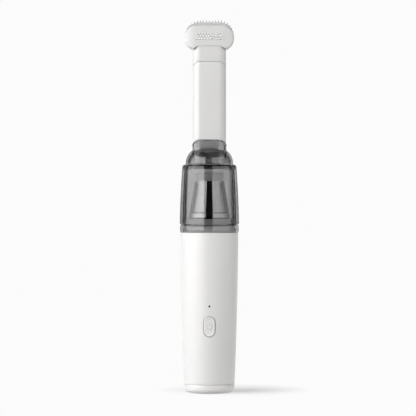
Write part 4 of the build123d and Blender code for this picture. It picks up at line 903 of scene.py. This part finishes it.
comb_rings = [mouth_ring(0, pod_back), plate_ring(plate_foot, pod_back),
              plate_ring(0, pod_back + plate_foot)]
comb_rings += [plate_ring(plate_edge * inset, plate_back - plate_edge * back)
               for inset, back in edge_turns(6)]
comb_rings += [mouth_ring(mouth_edge, plate_back), mouth_ring(0, plate_back - mouth_edge)]
comb = skin("comb", comb_rings, loop=True)
print("plate", len(comb.data.polygons), "faces")

# %% [markdown]
# A row of teeth stands along the upper edge. Geometry Nodes lay them on a path: it is resampled to
# the number of teeth, and each tooth is turned to its direction and is lower where it bends down.

# %% Teeth by Geometry Nodes
tooth_w, tooth_d, tooth_h, tooth_pitch = mm(1.0, 1.7, 2.1, 3.0)
tooth_levels = ((0, -0.6), (0, 0.72), (0.08, 0.88), (0.24, 0.98), (0.38, 1.0))
tooth_section = ((1, 0.6), (0.6, 1), (-0.6, 1), (-1, 0.6), (-1, -0.6), (-0.6, -1), (0.6, -1),
                 (1, -0.6))
tooth = skin("tooth", [
    [(x * tooth_w * (0.5 - inset), y * tooth_d * (0.5 - inset), tooth_h * rise)
     for x, y in tooth_section] for inset, rise in tooth_levels])


def along_a_path(tree, given):
    """Evenly spaced points on the path, turned to its direction and lower where it slopes."""
    path = add_node(tree, "GeometryNodeObjectInfo", {"Object": given["Path"]})["Geometry"]
    sockets = {"Curve": path, "Count": given["Copies"]}
    points = add_node(tree, "GeometryNodeResampleCurve", sockets)["Curve"]
    heading = add_node(tree, "GeometryNodeInputTangent")["Tangent"]
    turn = add_node(tree, "FunctionNodeAlignRotationToVector", {"Vector": heading}, axis="X",
                    pivot_axis="Y")["Rotation"]
    lower = calc(tree, "POWER", split(tree, heading)["X"], 2.0)
    size = add_node(tree, "ShaderNodeCombineXYZ", {"X": 1.0, "Y": 1.0, "Z": lower})["Vector"]
    return points, {"Rotation": turn, "Scale": size}


end_r, straight_half, tooth_y = plate_h / 2, (pod_w - plate_h) / 2, (pod_back + plate_back) / 2


def edge_point(distance):
    """A point of the plate's upper edge at a distance from its middle."""
    side = 1 if distance >= 0 else -1
    turn = max(0.0, abs(distance) - straight_half) / end_r
    x = min(abs(distance), straight_half) + end_r * sin(turn)
    return side * x, tooth_y, plate_z + end_r * cos(turn)


teeth_each_side, path_steps = 8, 240
tooth_count, reach = 2 * teeth_each_side + 1, teeth_each_side * tooth_pitch
curve = bpy.data.curves.new("tooth_path", "CURVE")
curve.dimensions = "3D"
line = curve.splines.new("POLY")
line.points.add(path_steps)
for i, point in enumerate(line.points):
    point.co = (*edge_point(-reach + 2 * reach * i / path_steps), 1)
tooth_path = add_object("tooth_path", curve)
layout = {"Copies": tooth_count, "Path": tooth_path}
join(comb, repeat_piece("teeth", tooth, along_a_path, layout))
bpy.data.objects.remove(tooth_path)
dress(comb, white_comb_painted_shade, "head", "comb_plate")

# %% [markdown]
# ## Grip dots
# Three staggered rows of small domed dots on the head's front give the fingers a hold. Geometry
# Nodes set one dot along a line, once for each row.

# %% Grip dots
def in_a_row(tree, given):
    """Points along X, a pitch apart, from a first place."""
    start = {"X": given["First X"], "Y": given["Depth"], "Z": given["Height"]}
    first = add_node(tree, "ShaderNodeCombineXYZ", start)["Vector"]
    step = add_node(tree, "ShaderNodeCombineXYZ", {"X": given["Pitch"]})["Vector"]
    sockets = {"Count": given["Copies"], "Start Location": first, "Offset": step}
    return add_node(tree, "GeometryNodeMeshLine", sockets)["Mesh"], {}


dot_pitch, dot_r = mm(2.8, 1.0)
dot_levels = ((0.25, 1.0), (0.0, 1.0), (-0.32, 0.9), (-0.6, 0.7), (-0.77, 0.42), (-0.83, 0.1))
dot_rows = []
for count, height in ((10, 358.0), (9, 355.35), (10, 352.7)):
    dot = skin("dot", [[(r * dot_r * cos(t), y * MM, r * dot_r * sin(t)) for t in full_turn(16)]
                       for y, r in dot_levels])
    layout = {"Copies": count, "Pitch": dot_pitch, "First X": -dot_pitch * (count - 1) / 2,
              "Depth": pod_front, "Height": height * MM}
    dot_rows.append(repeat_piece("dot_row", dot, in_a_row, layout))
grip_dots = join(*dot_rows)
grip_dots.name = "grip_dots"
dress(grip_dots, white_grip_painted_highlight, "head")

# %% [markdown]
# ## Finishes of the other pieces
# What is left keeps the model's own mesh: a turned can, a bent tab or a folded paper needs no more
# shape. Each gets the finish of its real material.

# %% Inner pieces
finishes = (
    (steel, "end_cap_screws usb_socket cell_tabs motor_can motor_screws motor_shaft flap_pin"),
    (black_plastic, "battery_cradle button_switch motor_end_bell diffuser fan_cover"),
    (seal_black, "rear_mount front_mount fan_gasket inlet_flap"),
    (board_green, "charge_board control_board"), (cell_wrap, "battery_cells"),
    (ferrite, "motor_magnets"), (bronze, "motor_bushes"), (laminations, "motor_armature"),
    (fan_metal, "fan_impeller"), (foam_black, "exhaust_foam"), (frame_metal, "filter_frame"),
    (rib_black, "filter_ribs"), (paper_white, "filter_pleats"),
)
for material, names in finishes:
    for name in names.split():
        nodes[name].data.materials.clear()
        nodes[name].data.materials.append(material)
print("finished", sum(len(names.split()) for _, names in finishes), "inner pieces")

# %% [markdown]
# ## Floor, backdrop and lamps
# The picture is a pack shot: all is white round the vacuum but a soft shadow right of the foot.
# The white comes from the floor and the world as the camera, gloss and clear plastic see them. The
# floor is part white surface, which takes the real shadow, and part glow. Right of the foot and
# behind it the surface has its largest share, so the floor is painted darker there: a painted shade
# round the real cast shadow. Further out it all turns to plain white.

# %% Floor
def light_path(tree, kind):
    """1 for rays of this kind, else 0."""
    return add_node(tree, "ShaderNodeLightPath")["Is " + kind + " Ray"]


WHITE, GLOW_IN_PAINTED_SHADE, UNSEEN_GLOW, GLOW_THROUGH = 0.97, 0.42, 0.35, 0.45
floor_white, tree, shader, place = new_material("floor_white")
feed(tree, shader, {"Base Color": (*grey(0.9), 1), "Roughness": 0.8, "Specular IOR Level": 0.1})
# Painted shade: the glow's share is least round this point, right of and behind the foot, so the
# floor is darker there even where no shadow falls.
painted_shade_middle, painted_shade_from, painted_shade_to = (24 * MM, 32 * MM, 0), 20 * MM, 80 * MM
away = add_node(tree, "ShaderNodeVectorMath", {0: place, 1: painted_shade_middle}, operation="DISTANCE")
glowing = spread(tree, away["Value"], painted_shade_from, painted_shade_to, GLOW_IN_PAINTED_SHADE, 1.0)
glossy, clear = light_path(tree, "Glossy"), light_path(tree, "Transmission")
share = calc(tree, "MAXIMUM", glowing, calc(tree, "MAXIMUM", glossy, clear))
seen = calc(tree, "MAXIMUM", light_path(tree, "Camera"), glossy)
direct = spread(tree, seen, 0.0, 1.0, UNSEEN_GLOW, WHITE)
through = spread(tree, clear, 0.0, 1.0, UNSEEN_GLOW, GLOW_THROUGH)
strength = calc(tree, "MAXIMUM", direct, through)
glow = add_node(tree, "ShaderNodeEmission", {"Strength": strength})["Emission"]
mixed = add_node(tree, "ShaderNodeMixShader", {0: share, 1: shader.outputs["BSDF"], 2: glow})
feed(tree, tree.nodes["Material Output"], {"Surface": mixed["Shader"]})
floor_mesh = bpy.data.meshes.new("floor")
floor_mesh.from_pydata([(-6, -6, 0), (6, -6, 0), (6, 6, 0), (-6, 6, 0)], [], [(0, 1, 2, 3)])
floor = add_object("floor", floor_mesh)
floor.data.materials.append(floor_white)
print("floor ready")

# %% [markdown]
# The world is a backdrop behind the vacuum and a dark room round it, which the clear cup shows
# between its bright sides. The backdrop is less than half as bright straight behind as further
# out, and a dark band lies between, 17 to 23 degrees off: the cup's flanks bend the view there, so
# they turn black. The ranges are cosines of angles off straight behind, or sines of heights. The
# camera sees plain white all round.

# %% World
world = bpy.data.worlds.new("studio")
bpy.context.scene.world = world
world.use_nodes = True
sky = world.node_tree
axes = split(sky, add_node(sky, "ShaderNodeTexCoord")["Generated"])
DARK_ROOM, DARK_BAND, DIM_CENTRE, CEILING = 0.04, 0.03, 0.43, 0.15
behind = spread(sky, axes["Y"], 0.76, 0.81, DARK_ROOM, WHITE)
overhead = spread(sky, axes["Z"], 0.7, 0.8, 1.0, CEILING)
centre = spread(sky, axes["Y"], 0.955, 0.978, DARK_BAND, DIM_CENTRE)
beside = spread(sky, axes["Y"], 0.88, 0.92, 1.0, DARK_BAND)
lit = calc(sky, "MAXIMUM", centre, beside)
backdrop = calc(sky, "MULTIPLY", calc(sky, "MULTIPLY", behind, overhead), lit)
room = sky.nodes["Background"]
feed(sky, room, {"Color": (1, 1, 1, 1), "Strength": backdrop})
white = add_node(sky, "ShaderNodeBackground", {"Color": (1, 1, 1, 1), "Strength": WHITE})
both = add_node(sky, "ShaderNodeMixShader", {
    0: light_path(sky, "Camera"), 1: room.outputs[0], 2: white["Background"]})
feed(sky, sky.nodes["World Output"], {"Surface": both["Shader"]})
print("world ready")

# %% [markdown]
# Two curved walls of light stand left and right of the camera, three tall panels each, and leave a
# dark gap of 34 degrees in front. That gap is the dark stripe down the middle of the cup. The left
# wall is twice as strong, and both end a little past square to the camera's line. A wide soft lamp
# on each side fills the white flanks and makes no highlight of its own.

# %% Lamps
def add_lamp(name, energy, size, place):
    lamp = bpy.data.lights.new(name, "AREA")
    lamp.energy, lamp.size = energy, size
    holder = add_object(name, lamp)
    holder.location = place
    return lamp, holder


panel_away, panel_half, panel_low, panel_high = 2.3, 13.4, 0.05, 2.4
panel_w = 2 * panel_away * sin(radians(panel_half)) / cos(radians(panel_half))
panel_h = panel_high - panel_low
for name, edge, side, radiances in (("left_wall", -21.5, -1, (3.15, 3.1, 2.7)),
                                    ("right_wall", 13, 1, (1.65, 1.5, 1.4))):
    for number, radiance in enumerate(radiances):
        turn = radians(edge + side * panel_half * (2 * number + 1))
        energy = radiance * pi * panel_w * panel_h
        place = (panel_away * sin(turn), -panel_away * cos(turn), (panel_low + panel_high) / 2)
        lamp, holder = add_lamp(f"{name}_{number}", energy, panel_w, place)
        lamp.shape, lamp.size_y = "RECTANGLE", panel_h
        holder.rotation_euler = (pi / 2, 0, turn)
fill_size, fill_aim = 1.2, Vector((0, 0, 0.15))
for name, place, energy in (("left_fill", (-1.85, -0.8, 0.75), 23.0),
                            ("right_fill", (1.9, -0.6, 0.7), 7.0)):
    lamp, holder = add_lamp(name, energy, fill_size, place)
    holder.rotation_euler = (fill_aim - holder.location).to_track_quat("-Z", "Y").to_euler()
    holder.visible_glossy = holder.visible_transmission = False
bpy.context.scene.view_settings.view_transform = "Standard"
print("lamps ready")
